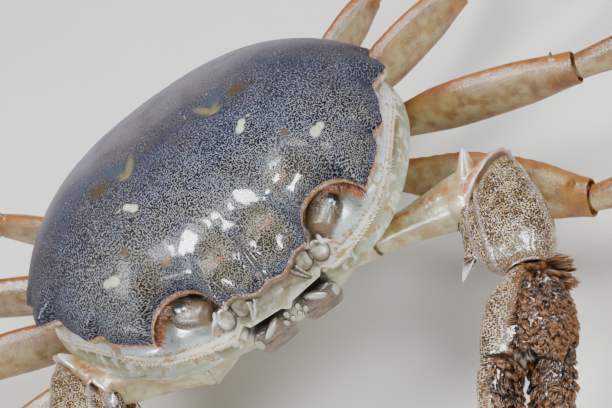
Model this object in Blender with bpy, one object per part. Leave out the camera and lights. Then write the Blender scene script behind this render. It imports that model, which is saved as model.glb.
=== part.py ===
"""River crab, life size: a mitten crab of rivers and rice fields, standing with its claws forward.

Frame: X is the crab's left, Y its back, Z up. The crab faces -Y. Sizes below are in fiftieths
of the carapace width and are measured from the middle of the body at the level of the side
teeth, so that one driving dimension sets the size of the whole animal.
"""

import math

import bmesh
import bpy
import numpy as np
from mathutils import Matrix, Vector

CARAPACE_WIDTH = 0.056
UNIT = CARAPACE_WIDTH / 50
GAP = 0.0003 / UNIT
BODY_CLEARANCE = 1.9 * GAP
FLOOR = -25.0
BODY_CENTRE_Y = 1.0

# Half outlines of the body, from the front midline to the back midline, as (x, y, z).
RIM = (
    (0.0, -17.5, -0.8), (1.6, -17.9, -0.9), (3.1, -17.4, -0.7), (4.4, -16.6, -0.5),
    (5.1, -16.6, -0.5), (5.75, -16.9, -0.5), (6.0, -16.2, -0.3), (6.4, -15.0, 0.1),
    (7.0, -13.8, 0.6), (8.0, -12.9, 1.0), (9.3, -12.3, 1.1), (10.8, -11.9, 0.9),
    (12.2, -11.9, 0.4), (13.3, -12.2, -0.4), (14.0, -12.9, -1.1), (14.5, -13.8, -1.6),
    (15.4, -13.1, -1.5), (17.2, -11.6, -1.2), (18.5, -10.0, -0.9), (18.9, -8.6, -0.5),
    (20.4, -8.4, -0.2), (21.2, -6.6, 0.0), (22.0, -4.4, 0.0), (22.4, -2.3, 0.0),
    (25.0, -1.2, 0.2), (24.9, 0.6, 0.2), (24.5, 2.4, 0.1), (25.0, 3.4, 0.1),
    (24.5, 5.4, -0.3), (23.5, 8.4, -0.8), (21.6, 12.6, -1.4), (18.6, 17.2, -2.0),
    (15.2, 20.4, -2.4), (12.2, 22.4, -2.7), (10.6, 23.2, -2.9), (6.0, 24.1, -3.0),
    (0.0, 24.4, -3.0),
)
RECESS = (
    (0.0, -15.9, -2.2), (1.6, -15.6, -2.3), (4.0, -15.3, -2.2), (5.6, -14.8, -1.6),
    (7.0, -12.2, -0.9), (9.3, -10.9, -0.5), (11.6, -10.5, -0.7), (13.4, -11.0, -1.6),
    (14.6, -12.2, -2.5), (16.4, -11.2, -2.4), (17.8, -9.4, -2.0), (18.1, -8.0, -1.7),
    (19.7, -7.6, -1.5), (21.0, -4.2, -1.3), (21.6, -2.0, -1.2), (23.8, -0.9, -1.1),
    (23.9, 2.6, -1.2), (23.3, 6.4, -1.6), (20.8, 12.2, -2.8), (14.6, 19.8, -3.8),
    (10.2, 22.2, -4.2), (0.0, 23.1, -4.4),
)
ORBIT_FLOOR = (
    (0.0, -16.2, -3.7), (2.4, -15.9, -3.7), (5.0, -15.6, -3.6), (6.6, -14.8, -3.5),
    (8.6, -14.0, -3.5), (11.0, -13.3, -3.5), (13.4, -12.2, -3.6), (15.2, -11.6, -3.7),
    (17.6, -9.5, -3.6), (19.6, -7.0, -3.2), (21.6, -3.4, -2.9), (23.6, 0.0, -2.8),
    (23.6, 5.0, -3.2), (21.0, 11.8, -4.2), (14.4, 19.6, -5.2), (10.0, 22.0, -5.6),
    (0.0, 22.8, -5.8),
)
CREST = (
    (0.0, -18.7, -4.6), (0.8, -18.1, -4.4), (3.1, -17.9, -4.3), (4.6, -17.7, -4.3),
    (5.4, -16.6, -4.2), (6.6, -17.5, -4.4), (8.7, -17.1, -4.5), (9.9, -16.6, -4.5),
    (11.1, -16.1, -4.5), (12.7, -15.2, -4.5), (14.4, -14.1, -4.5), (15.9, -12.8, -4.5),
    (17.3, -11.1, -4.5), (19.2, -8.4, -4.4), (21.4, -4.8, -4.4), (23.8, -0.6, -4.4),
    (24.3, 3.0, -4.5), (23.6, 6.8, -4.8), (21.2, 12.0, -5.6), (14.4, 19.6, -6.4),
    (10.0, 21.8, -6.8), (0.0, 22.6, -7.0),
)
UNDERCUT = (
    (0.0, -16.0, -5.5), (4.4, -15.6, -5.5), (5.4, -17.0, -5.7), (7.0, -17.9, -6.0),
    (8.9, -17.5, -6.0), (9.9, -16.2, -5.6), (12.6, -14.9, -5.3), (15.8, -12.6, -5.3),
    (18.6, -9.9, -5.3), (21.4, -5.9, -5.4), (24.1, -0.6, -5.4), (24.8, 3.4, -5.5),
    (23.9, 7.4, -5.8), (21.2, 12.2, -6.4), (14.4, 19.5, -7.2), (10.0, 21.5, -7.5),
    (0.0, 22.3, -7.6),
)
WALL = (
    (0.0, -15.2, -7.0), (4.2, -15.1, -7.0), (6.4, -15.7, -7.2), (8.8, -16.0, -7.3),
    (12.0, -15.6, -7.3), (15.4, -13.7, -7.3), (18.4, -10.8, -7.3), (21.6, -6.4, -7.3),
    (24.3, -0.6, -7.2), (25.0, 3.6, -7.2), (24.0, 7.6, -7.3), (21.0, 12.4, -7.6),
    (14.4, 19.3, -8.2), (10.0, 21.1, -8.4), (0.0, 21.9, -8.4),
)
HEM = (
    (0.0, -14.1, -9.0), (6.0, -14.0, -9.0), (10.4, -13.6, -9.0), (13.8, -11.6, -9.0),
    (17.0, -8.4, -9.0), (20.4, -4.4, -9.0), (23.2, 0.2, -9.0), (23.8, 4.4, -9.0),
    (22.4, 9.2, -9.0), (18.6, 14.4, -9.0), (13.6, 18.8, -9.0), (9.6, 20.6, -9.0),
    (0.0, 21.4, -9.0),
)
BREAST_TOP = (
    (0.0, -13.8, -9.3), (6.0, -13.6, -9.3), (10.2, -12.6, -9.3), (13.6, -10.2, -9.3),
    (17.4, -7.0, -9.3), (20.3, -2.0, -9.3), (21.3, 4.0, -9.3), (19.8, 11.0, -9.3),
    (15.8, 16.6, -9.3), (10.2, 19.8, -9.3), (0.0, 20.7, -9.3),
)
BREAST_SIDE = (
    (0.0, -12.8, -11.4), (6.0, -12.5, -11.4), (9.6, -11.4, -11.4), (12.8, -9.0, -11.4),
    (16.2, -5.4, -11.4), (18.2, 0.0, -11.4), (18.7, 5.0, -11.4), (17.2, 11.4, -11.4),
    (13.8, 16.2, -11.4), (8.8, 18.8, -11.4), (0.0, 19.6, -11.4),
)
BREAST_EDGE = (
    (0.0, -11.4, -13.8), (5.4, -11.0, -13.8), (8.8, -9.8, -13.8), (11.8, -7.0, -13.8),
    (14.4, -3.2, -13.8), (15.8, 1.6, -13.8), (15.8, 6.4, -13.8), (14.2, 11.6, -13.8),
    (11.2, 15.0, -13.8), (7.2, 16.8, -13.8), (0.0, 17.4, -13.8),
)
BREAST_FLAT = (
    (0.0, -9.4, -15.2), (5.0, -8.8, -15.2), (8.2, -7.0, -15.2), (10.8, -3.4, -15.2),
    (12.0, 1.6, -15.2), (11.6, 6.6, -15.2), (9.4, 10.8, -15.2), (5.6, 13.0, -15.2),
    (0.0, 13.6, -15.2),
)
BREAST_DEPTH = -15.6
BELLY_SEGMENTS = 7
BREAST_SIDES = 36

DOME_TOP = 9.2
RIM_SOFTNESS = math.radians(11.0)
# Rings of the dome: share of the way to the rim, and how many points of the rim are passed over.
DOME_STEPS = ((0.18, 6), (0.36, 4), (0.54, 3), (0.7, 2), (0.82, 2), (0.91, 2), (0.965, 1))
CREST_TEETH = 11
CREST_TOOTH_RISE = 0.42
CREST_FROM = math.radians(27.0)
CREST_TO = math.radians(58.0)

# Swellings and hollows of the carapace, as (x, y, half length across, half length along, rise).
REGIONS = (
    (2.4, -10.8, 1.9, 2.2, 0.45),
    (0.0, -11.4, 0.5, 2.4, -0.35),
    (0.0, -3.0, 5.5, 5.0, 0.45),
    (6.2, 2.2, 1.4, 2.2, -0.45),
    (2.6, 6.4, 3.0, 0.9, -0.35),
    (0.0, 12.2, 4.2, 3.6, 0.5),
    (14.6, 2.6, 5.4, 6.8, 0.7),
    (13.2, -6.4, 3.4, 2.6, 0.35),
    (9.8, 10.8, 1.6, 4.4, -0.4),
)

# One walking leg per entry: root, knee, heading beyond the knee in degrees, half height of the thigh.
LEG_LENGTHS = {2: (9.0, 12.5, 12.5), 3: (9.8, 13.8, 13.5), 4: (9.6, 13.4, 13.0), 5: (7.6, 10.6, 10.0)}
LEGS = {
    ("left", 2): ((18.2, -0.4, -13.4), (34.5, -21.8, -16.0), -40.0, 3.4),
    ("left", 3): ((19.8, 6.8, -12.5), (42.6, -10.3, -9.0), -22.0, 3.3),
    ("left", 4): ((18.4, 13.2, -12.5), (39.8, 14.2, -8.6), 8.0, 3.2),
    ("left", 5): ((14.6, 18.2, -12.2), (31.2, 24.0, -8.4), 34.0, 2.8),
    ("right", 2): ((-18.2, -0.2, -13.8), (-39.4, 4.4, -15.2), 184.0, 3.0),
    ("right", 3): ((-19.8, 6.8, -12.8), (-40.8, 12.2, -7.0), 176.0, 3.3),
    ("right", 4): ((-18.4, 13.2, -12.5), (-35.8, 23.6, -7.8), 154.0, 3.2),
    ("right", 5): ((-14.4, 18.4, -12.2), (-25.6, 31.2, -7.6), 130.0, 2.8),
}
BLADE_UP = {("left", 2): (0.5, 0.35, 0.8)}

# One claw per entry: root, ends of the arm, wrist and palm, tip, and the way the back edge faces.
CLAWS = {
    "left": {
        "joints": (
            (12.4, -9.6, -12.8), (26.2, -17.0, -9.8), (22.9, -30.2, -10.8),
            (16.4, -38.2, -13.0), (8.2, -49.4, -16.6),
        ),
        "arm_up": (0.1, -0.2, 1.0),
        "wrist_up": (-0.1, -0.1, 1.0),
        "palm_up": (-0.74, 0.42, 0.50),
        "arm_spine": (26.0, -14.2, -4.8),
        "wrist_spine": (17.0, -25.2, -10.6),
    },
    "right": {
        "joints": (
            (-12.4, -9.8, -13.0), (-25.5, -2.4, -9.6), (-30.4, -16.2, -11.6),
            (-24.6, -25.0, -13.8), (-14.8, -34.4, -17.2),
        ),
        "arm_up": (-0.1, -0.2, 1.0),
        "wrist_up": (0.1, -0.1, 1.0),
        "palm_up": (0.74, 0.42, 0.50),
        "arm_spine": (-25.8, 0.0, -5.4),
        "wrist_spine": (-22.6, -8.6, -8.2),
    },
}

# Section profiles along a limb: (place, half thickness, half height).
THIGH = ((0.0, 1.5, 1.7), (0.14, 1.5, 2.0), (0.4, 1.75, 3.1), (0.75, 1.65, 3.0), (1.0, 1.6, 2.0))
KNEE = ((0.0, 1.35, 1.6), (0.35, 1.5, 1.9), (0.8, 1.7, 2.3), (1.0, 1.55, 1.9))
SHIN = ((0.0, 1.3, 1.6), (0.3, 1.35, 2.1), (0.75, 1.15, 1.7), (1.0, 0.95, 1.2))
TOE = ((0.0, 0.85, 1.1), (0.25, 0.9, 1.25), (0.6, 0.7, 0.9), (0.9, 0.42, 0.5), (1.0, 0.36, 0.36))
ARM = ((0.0, 1.6, 1.7), (0.3, 2.0, 2.1), (0.7, 2.5, 2.6), (1.0, 2.6, 2.3))
WRIST = ((0.0, 2.1, 2.0), (0.16, 3.5, 3.1), (0.5, 4.4, 3.9), (0.8, 3.6, 3.4), (1.0, 2.3, 2.4))
PALM = ((0.0, 2.1, 2.6), (0.3, 2.8, 4.3), (0.65, 3.1, 4.9), (0.9, 2.9, 4.9), (1.0, 2.7, 4.7))
PALM_SQUARE = 2.3
FINGER = ((0.0, 2.0, 2.2), (0.3, 1.9, 2.0), (0.65, 1.35, 1.4), (0.92, 0.65, 0.6), (1.0, 0.3, 0.3))

# The matted coat of each palm: rows of locks, as (place along the palm, first and last turn round
# its section in degrees, number of locks, lean out from the palm in degrees, size). A turn of 0 is the
# inner face, 180 the outer face and 270 the lower edge.
COAT_ROWS = (
    (0.1, 192.0, 226.0, 2, 30.0, 1.0), (0.07, 246.0, 282.0, 2, 120.0, 1.12),
    (0.22, 268.0, 300.0, 2, 44.0, 0.85), (0.32, 176.0, 234.0, 3, 20.0, 1.05),
    (0.48, 254.0, 292.0, 2, 20.0, 0.95), (0.58, 170.0, 226.0, 3, 12.0, 1.05),
    (0.76, 240.0, 286.0, 3, 12.0, 0.95), (0.5, -24.0, 20.0, 2, 10.0, 1.1),
)
LOCK_LENGTH = 4.0
LOCK_WIDTH = 3.3
LOCK_THICKNESS = 1.0
LOCK_RISE = 0.55
LOCK_ROOT = 0.9
LOCK_STEPS = ((0.0, 0.7, 1.0), (0.35, 1.0, 1.0), (0.7, 0.7, 0.8), (1.0, 0.12, 0.4))

FINGER_TEETH = 4
FINGER_TOOTH_RISE = 0.55

SHELL_BLUE = ((0.075, 0.078, 0.105), 0.3)
SHELL_CREAM = ((0.55, 0.56, 0.45), 0.4)
LIMB_BROWN = ((0.36, 0.2, 0.1), 0.35)
LIMB_TAN = ((0.42, 0.27, 0.15), 0.35)
CLAW_OCHRE = ((0.3, 0.19, 0.1), 0.35)
FACE_GREEN = ((0.45, 0.46, 0.32), 0.4)
EYE_GREY = ((0.12, 0.1, 0.07), 0.15)


def new_material(name, look):
    """A plain material with a colour and a roughness."""
    colour, roughness = look
    material = bpy.data.materials.new(name)
    material.use_nodes = True
    shader = material.node_tree.nodes["Principled BSDF"]
    shader.inputs["Base Color"].default_value = (*colour, 1.0)
    shader.inputs["Roughness"].default_value = roughness
    shader.inputs["Metallic"].default_value = 0.0
    return material


def curve_value(profile, place):
    """Values of a profile at a place from 0 to 1, on a smooth curve through its points."""
    places = [point[0] for point in profile]
    index = min(max(int(np.searchsorted(places, place)) - 1, 0), len(profile) - 2)
    before = np.array(profile[max(index - 1, 0)][1:], float)
    first = np.array(profile[index][1:], float)
    second = np.array(profile[index + 1][1:], float)
    after = np.array(profile[min(index + 2, len(profile) - 1)][1:], float)
    t = (place - places[index]) / (places[index + 1] - places[index])
    slope_first = (second - before) / 2
    slope_second = (after - first) / 2
    return (
        (2 * t**3 - 3 * t**2 + 1) * first + (t**3 - 2 * t**2 + t) * slope_first
        + (3 * t**2 - 2 * t**3) * second + (t**3 - t**2) * slope_second
    )


def solid_from_rings(name, rings, caps=(True, True)):
    """A closed mesh through rings of points; a cap is a flat face, or False where a ring is a tip."""
    mesh = bmesh.new()
    made = [[mesh.verts.new(Vector(point) * UNIT) for point in ring] for ring in rings]
    for first, second in zip(made, made[1:]):
        skin_between(mesh, first, second)
    for ring, capped in ((made[0], caps[0]), (made[-1], caps[1])):
        if capped and len(ring) > 2:
            mesh.faces.new(ring)
    return finish_mesh(name, mesh)


def skin_between(mesh, first, second):
    """Faces between two rings with any numbers of points, matched by their share of the way round."""
    ends = (len(first) if len(first) > 1 else 0, len(second) if len(second) > 1 else 0)
    i = j = 0
    while i < ends[0] or j < ends[1]:
        here, there = first[i % len(first)], second[j % len(second)]
        next_first = (i + 1) / ends[0] if i < ends[0] else 2.0
        next_second = (j + 1) / ends[1] if j < ends[1] else 2.0
        if abs(next_first - next_second) < 1e-9:
            i, j = i + 1, j + 1
            mesh.faces.new((first[i % len(first)], here, there, second[j % len(second)]))
        elif next_first < next_second:
            i += 1
            mesh.faces.new((first[i % len(first)], here, there))
        else:
            j += 1
            mesh.faces.new((here, there, second[j % len(second)]))


def finish_mesh(name, mesh):
    """Turns the faces outwards, splits them into triangles and makes an object."""
    bmesh.ops.recalc_face_normals(mesh, faces=mesh.faces)
    bmesh.ops.triangulate(mesh, faces=mesh.faces, quad_method="SHORT_EDGE", ngon_method="BEAUTY")
    if mesh.calc_volume(signed=True) < 0:
        bmesh.ops.reverse_faces(mesh, faces=mesh.faces)
    data = bpy.data.meshes.new(name)
    mesh.to_mesh(data)
    mesh.free()
    made = bpy.data.objects.new(name, data)
    bpy.context.scene.collection.objects.link(made)
    return made


def boolean(core, pieces, operation, solver="EXACT"):
    """Joins closed pieces to a core, or cuts them out of it, and removes them."""
    group = bpy.data.collections.new(core.name + "_pieces")
    bpy.context.scene.collection.children.link(group)
    for piece in pieces:
        bpy.context.scene.collection.objects.unlink(piece)
        group.objects.link(piece)
    modifier = core.modifiers.new("fuse", "BOOLEAN")
    modifier.operation = operation
    modifier.operand_type = "COLLECTION"
    modifier.collection = group
    modifier.solver = solver
    bpy.context.view_layer.update()
    seen = core.evaluated_get(bpy.context.evaluated_depsgraph_get())
    made = bpy.data.meshes.new_from_object(seen)
    core.modifiers.clear()
    core.data = made
    for piece in pieces:
        bpy.data.objects.remove(piece, do_unlink=True)
    bpy.data.collections.remove(group)
    keep_largest_surface(core)
    return core


def keep_largest_surface(made):
    """Leaves the largest closed surface of a mesh, split into triangles."""
    mesh = bmesh.new()
    mesh.from_mesh(made.data)
    bmesh.ops.triangulate(mesh, faces=mesh.faces)
    left = set(mesh.faces)
    islands = []
    while left:
        island = [left.pop()]
        for face in island:
            for edge in face.edges:
                for other in edge.link_faces:
                    if other in left:
                        left.discard(other)
                        island.append(other)
        islands.append(island)
    islands.sort(key=lambda island: sum(face.calc_area() for face in island))
    for island in islands[:-1]:
        bmesh.ops.delete(mesh, geom=island, context="FACES")
    bmesh.ops.delete(mesh, geom=[v for v in mesh.verts if not v.link_faces], context="VERTS")
    mesh.to_mesh(made.data)
    mesh.free()


def polar(outline):
    """Angles from the front midline, radii and heights of a half outline about the body's middle."""
    angles = [math.atan2(x, BODY_CENTRE_Y - y) for x, y, _ in outline]
    radii = [math.hypot(x, BODY_CENTRE_Y - y) for x, y, _ in outline]
    return angles, radii, [z for _, _, z in outline]


def on_row(outline, angle):
    """Radius and height of a row of the body at an angle on either side."""
    angles, radii, heights = polar(outline)
    turn = abs(angle)
    return np.interp(turn, angles, radii), np.interp(turn, angles, heights)


def soften(outline, spread):
    """A half outline with its teeth and notches smoothed away, as angles, radii and heights."""
    angles, radii, heights = polar(outline)
    half = np.linspace(0.0, math.pi, 181)
    reach = int(3 * spread / half[1])
    weights = np.exp(-0.5 * (np.arange(-reach, reach + 1) * half[1] / spread) ** 2)
    weights /= weights.sum()
    soft = []
    for values in (radii, heights):
        line = np.pad(np.interp(half, angles, values), reach, mode="reflect")
        soft.append(np.convolve(line, weights, mode="valid"))
    return half, soft[0], soft[1]


def body_point(angle, radius, height):
    """The point at an angle, a radius and a height about the body's middle."""
    return (radius * math.sin(angle), BODY_CENTRE_Y - radius * math.cos(angle), height)


def half_angles():
    """Angles at which the body is measured, from front to back: outline points and crest teeth."""
    angles = list(polar(RIM)[0])
    for step in range(2 * CREST_TEETH + 1):
        angles.append(CREST_FROM + (CREST_TO - CREST_FROM) * step / (2 * CREST_TEETH))
    kept = []
    for angle in sorted(angles):
        if not kept or angle - kept[-1] > math.radians(0.6):
            kept.append(angle)
    kept[-1] = math.pi
    return kept


def all_angles():
    """The angles of both halves, once round."""
    half = half_angles()
    return half + [-angle for angle in reversed(half[1:-1])]


def crest_tooth(angle):
    """Rise of the toothed crest below the eye, at an angle."""
    turn = abs(angle)
    if not CREST_FROM < turn < CREST_TO:
        return 0.0
    place = (turn - CREST_FROM) / (CREST_TO - CREST_FROM) * CREST_TEETH
    return CREST_TOOTH_RISE * (1 - abs(2 * (place % 1.0) - 1))


def region_rise(x, y):
    """Rise of the carapace's swellings over the plain dome."""
    rise = 0.0
    for centre_x, centre_y, across, along, height in REGIONS:
        for side in ((1, -1) if centre_x else (1,)):
            u = (x - side * centre_x) / across
            v = (y - centre_y) / along
            rise += height * math.exp(-(u * u + v * v))
    return rise


def dome_point(angle, step, soft):
    """A point of the carapace's top, a share of the way from its middle to the rim."""
    radius, edge = on_row(RIM, angle)
    share = step**5
    radius = share * radius + (1 - share) * np.interp(abs(angle), soft[0], soft[1])
    edge = share * edge + (1 - share) * np.interp(abs(angle), soft[0], soft[2])
    backward = 0.5 - 0.5 * math.cos(max(0.0, abs(angle) - 1.2) / (math.pi - 1.2) * math.pi)
    power = 3.0 - 0.9 * backward
    fall = 0.66 + 0.26 * backward
    x, y, _ = body_point(angle, radius * step, 0.0)
    height = edge + (DOME_TOP - edge) * (1 - step**power) ** fall
    return (x, y, height + region_rise(x, y) * (1 - step**4))


def body_row(outline, angles, toothed=False):
    """One ring of the body on an outline, with the crest's teeth where it is toothed."""
    ring = []
    for angle in angles:
        radius, height = on_row(outline, angle)
        if toothed:
            radius += crest_tooth(angle)
        ring.append(body_point(angle, radius, height))
    return ring


def lip_row(angles):
    """The underside of the rim, a little inside it."""
    ring = []
    for angle in angles:
        radius, height = on_row(RIM, angle)
        ring.append(body_point(angle, radius - 0.35, height - 0.8))
    return ring


def make_carapace():
    """The shell: domed top, toothed rim, eye sockets, mouth frame and side walls."""
    angles = all_angles()
    soft = soften(RIM, RIM_SOFTNESS)
    rings = [[(0.0, BODY_CENTRE_Y, DOME_TOP + region_rise(0.0, BODY_CENTRE_Y))]]
    for step, every in DOME_STEPS:
        rings.append([dome_point(angle, step, soft) for angle in angles[::every]])
    rings.append(body_row(RIM, angles))
    rings.append(lip_row(angles))
    rings.append(body_row(RECESS, angles))
    rings.append(body_row(ORBIT_FLOOR, angles))
    rings.append(body_row(CREST, angles, toothed=True))
    rings.append(body_row(UNDERCUT, angles))
    rings.append(body_row(WALL, angles[::2]))
    rings.append(body_row(HEM, angles[::2]))
    shell = solid_from_rings("carapace", rings)
    cutters = [make_eye("eye_space", side, GAP) for side in (1, -1)]
    return boolean(shell, cutters, "DIFFERENCE")


def make_thorax():
    """The breast between the legs, with the short root of every leg and claw."""
    angles = [2 * math.pi * i / BREAST_SIDES - math.pi for i in range(BREAST_SIDES)]
    rows = (BREAST_TOP, BREAST_SIDE, BREAST_EDGE, BREAST_FLAT)
    rings = [body_row(row, angles) for row in rows]
    rings.append([(0.0, 2.0, BREAST_DEPTH)])
    core = solid_from_rings("thorax", rings)
    roots = [make_leg_root(key) for key in LEGS] + [make_claw_root(side) for side in CLAWS]
    boolean(core, roots, "UNION")
    return boolean(core, [make_abdomen("belly_space", GAP)], "DIFFERENCE")


def leg_inner(key):
    """The point inside the breast where a leg's first joint starts."""
    root = LEGS[key][0]
    return Vector((root[0] * 0.62, root[1] * 0.8 + 0.8, root[2] + 0.2))


def claw_inner(side):
    """The point inside the breast where a claw's first joint starts."""
    root = CLAWS[side]["joints"][0]
    return Vector((root[0] * 0.5, root[1] + 2.6, root[2] + 0.4))


def make_body_block(grown):
    """The lower body as one block, a little larger, to cut the claws' arms clear of it."""
    angles = [2 * math.pi * i / BREAST_SIDES - math.pi for i in range(BREAST_SIDES)]
    rows = (UNDERCUT, WALL, HEM, BREAST_TOP, BREAST_SIDE, BREAST_EDGE, BREAST_FLAT)
    rings = []
    for row in rows:
        ring = []
        for angle in angles:
            radius, height = on_row(row, angle)
            ring.append(body_point(angle, radius + grown, height - grown))
        rings.append(ring)
    return solid_from_rings("body_block", rings)


def make_leg_root(key):
    """The first joint of a leg, from the breast out to the thigh."""
    inner, root, knee = leg_inner(key), Vector(LEGS[key][0]), Vector(LEGS[key][1])
    shape = ((0.0, 1.7, 1.9), (0.6, 2.0, 2.2), (1.0, 1.8, 2.0))
    return limb("root", inner, root, (0, 0, 1), shape, None, joint_face(inner, root, knee), 9, 3)


def make_claw_root(side):
    """The first joint of a claw."""
    joints = CLAWS[side]["joints"]
    inner, root, elbow = claw_inner(side), Vector(joints[0]), Vector(joints[1])
    shape = ((0.0, 1.9, 1.9), (0.6, 2.0, 2.0), (1.0, 1.8, 1.9))
    return limb("root", inner, root, (0, 0, 1), shape, None, joint_face(inner, root, elbow), 9, 3)


def joint_face(before, joint, after):
    """The way the flat face between two limb pieces looks, half way between their headings."""
    return ((joint - before).normalized() + (after - joint).normalized()).normalized()


def limb(name, start, end, up, profile, start_face, end_face, sides, rings, bow=0.0, square=2.3):
    """A limb piece along a line, with flat ends that lie half a gap off their joint planes."""
    start, end = Vector(start), Vector(end)
    along = (end - start).normalized()
    across = along.cross(Vector(up)).normalized()
    upward = across.cross(along).normalized()
    start_face = start_face or along
    end_face = end_face or along
    length = (end - start).length
    first = GAP / 2 / along.dot(start_face)
    last = length - GAP / 2 / along.dot(end_face)
    made = []
    for ring in range(rings + 1):
        place = ring / rings
        thick, high = curve_value(profile, place)
        centre = start + along * (first + (last - first) * place)
        centre += upward * bow * math.sin(math.pi * place)
        lean_start = max(0.0, 1 - place / 0.3)
        lean_end = max(0.0, 1 - (1 - place) / 0.3)
        points = []
        for side in range(sides):
            turn = 2 * math.pi * side / sides
            out = across * thick * rounded(math.cos(turn), square)
            out += upward * high * rounded(math.sin(turn), square)
            slide = -lean_start * out.dot(start_face) / along.dot(start_face)
            slide -= lean_end * out.dot(end_face) / along.dot(end_face)
            points.append(centre + out + along * slide)
        made.append(points)
    return solid_from_rings(name, made)


def rounded(value, square):
    """A cosine or sine drawn out towards a square, for the section of a limb."""
    return math.copysign(abs(value) ** (2 / square), value)


def spine(base, tip, radius):
    """A pointed spine with a round root."""
    base, tip = Vector(base), Vector(tip)
    mesh = bmesh.new()
    depth = (tip - base).length
    bmesh.ops.create_cone(
        mesh, cap_ends=True, segments=6, radius1=radius * UNIT, radius2=0.12 * UNIT, depth=depth * UNIT
    )
    turn = (tip - base).to_track_quat("Z", "Y").to_matrix().to_4x4()
    place = Matrix.Translation((base + tip) / 2 * UNIT) @ turn
    bmesh.ops.transform(mesh, matrix=place, verts=mesh.verts)
    return finish_mesh("spine", mesh)


def scaled(profile, thick=1.0, high=1.0):
    """A profile with its thickness and height scaled."""
    return tuple((place, t * thick, h * high) for place, t, h in profile)


def make_leg(key):
    """The four free pieces of a walking leg, from the thigh to the toe on the floor."""
    side, number = key
    root, knee, heading, height = LEGS[key]
    points = [Vector(root), Vector(knee)]
    points += fold_to_floor(points[1], math.radians(heading), LEG_LENGTHS[number])
    small = 0.86 if number == 5 else 1.0
    faces = [joint_face(leg_inner(key), points[0], points[1])]
    for i in range(1, 4):
        faces.append(joint_face(points[i - 1], points[i], points[i + 1]))
    faces.append(Vector((0, 0, -1)))
    ups = [Vector(BLADE_UP.get(key, (0, 0, 1)))] + [Vector((0, 0, 1))] * 3
    shapes = (scaled(THIGH, small, height / THIGH[2][2]), scaled(KNEE, small, small),
              scaled(SHIN, small, small), scaled(TOE, small, small))
    names = ("merus", "carpus", "propodus", "dactylus")
    counts = ((12, 7), (10, 5), (10, 6), (8, 7))
    bows = (0.25, 0.2, 0.3, 0.5)
    made = []
    for i, name in enumerate(names):
        piece = limb(
            f"leg{number}_{name}_{side}", points[i], points[i + 1], ups[i], shapes[i],
            faces[i], faces[i + 1], *counts[i], bow=bows[i],
        )
        made.append(piece)
    add_thigh_spine(made[0], points[0], points[1], height)
    return made


def add_thigh_spine(thigh, root, knee, height):
    """The single spine near the far end of a thigh's upper edge."""
    along = (knee - root).normalized()
    upward = along.cross(Vector((0, 0, 1))).normalized().cross(along)
    base = root + along * (knee - root).length * 0.9 + upward * height * 0.45
    tip = base + upward * 2.1 + along * 1.2
    boolean(thigh, [spine(base, tip, 0.7)], "UNION")


def fold_to_floor(knee, heading, lengths):
    """Joints beyond the knee: three pieces that bend down evenly and end on the floor."""
    low, high = -0.3, 1.4
    for _ in range(40):
        pitch = (low + high) / 2
        points = leg_points(knee, heading, lengths, pitch)
        if points[-1].z > FLOOR:
            low = pitch
        else:
            high = pitch
    points[-1].z = FLOOR - GAP / 2
    return points


def leg_points(knee, heading, lengths, pitch):
    """Joints of the lower leg for one pitch, each piece steeper than the last."""
    points = []
    place = knee
    for length, extra in zip(lengths, (-0.38, 0.0, 0.3)):
        down = pitch + extra
        flat = length * math.cos(down)
        place = place + Vector((flat * math.cos(heading), flat * math.sin(heading), -length * math.sin(down)))
        points.append(place)
    return points


def make_claw(side):
    """The four free pieces of a claw: arm, wrist, palm with its fixed finger, movable finger."""
    claw = CLAWS[side]
    joints = [Vector(joint) for joint in claw["joints"]]
    faces = [joint_face(claw_inner(side), joints[0], joints[1])]
    faces.append(joint_face(joints[0], joints[1], joints[2]))
    faces.append(joint_face(joints[1], joints[2], joints[3]))
    palm_along = (joints[3] - joints[2]).normalized()
    arm = limb(f"claw_merus_{side}", joints[0], joints[1], claw["arm_up"], ARM, faces[0], faces[1], 14, 7)
    wrist = limb(
        f"claw_carpus_{side}", joints[1], joints[2], claw["wrist_up"], WRIST, faces[1], faces[2], 16, 8
    )
    palm = limb(
        f"claw_palm_{side}", joints[2], joints[3], claw["palm_up"], PALM, faces[2], palm_along, 16, 8
    )
    add_arm_spine(arm, joints, claw)
    boolean(arm, [make_body_block(BODY_CLEARANCE)], "DIFFERENCE")
    add_wrist_spine(wrist, joints, claw)
    fixed = make_finger("fixed", joints, claw["palm_up"], -1, 1.4)
    teeth = finger_teeth(joints, claw["palm_up"], -1)
    boolean(palm, [fixed] + teeth + coat_locks(joints, claw["palm_up"]), "UNION")
    moving = make_finger(f"claw_finger_{side}", joints, claw["palm_up"], 1, 0.0)
    boolean(moving, finger_teeth(joints, claw["palm_up"], 1), "UNION")
    return [arm, wrist, palm, moving]


def palm_axes(joints, up):
    """Headings of a palm: along it, across its faces, and towards its back edge."""
    along = (joints[3] - joints[2]).normalized()
    across = along.cross(Vector(up)).normalized()
    return along, across, across.cross(along).normalized()


def palm_spot(joints, up, place, turn):
    """A point on the palm's surface and the way the surface faces there."""
    along, across, upward = palm_axes(joints, up)
    thick, high = curve_value(PALM, place)
    centre = joints[2].lerp(joints[3], place)
    spot = centre + across * thick * rounded(math.cos(turn), PALM_SQUARE)
    spot += upward * high * rounded(math.sin(turn), PALM_SQUARE)
    facing = across * math.cos(turn) / thick + upward * math.sin(turn) / high
    return spot, facing.normalized()


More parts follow.
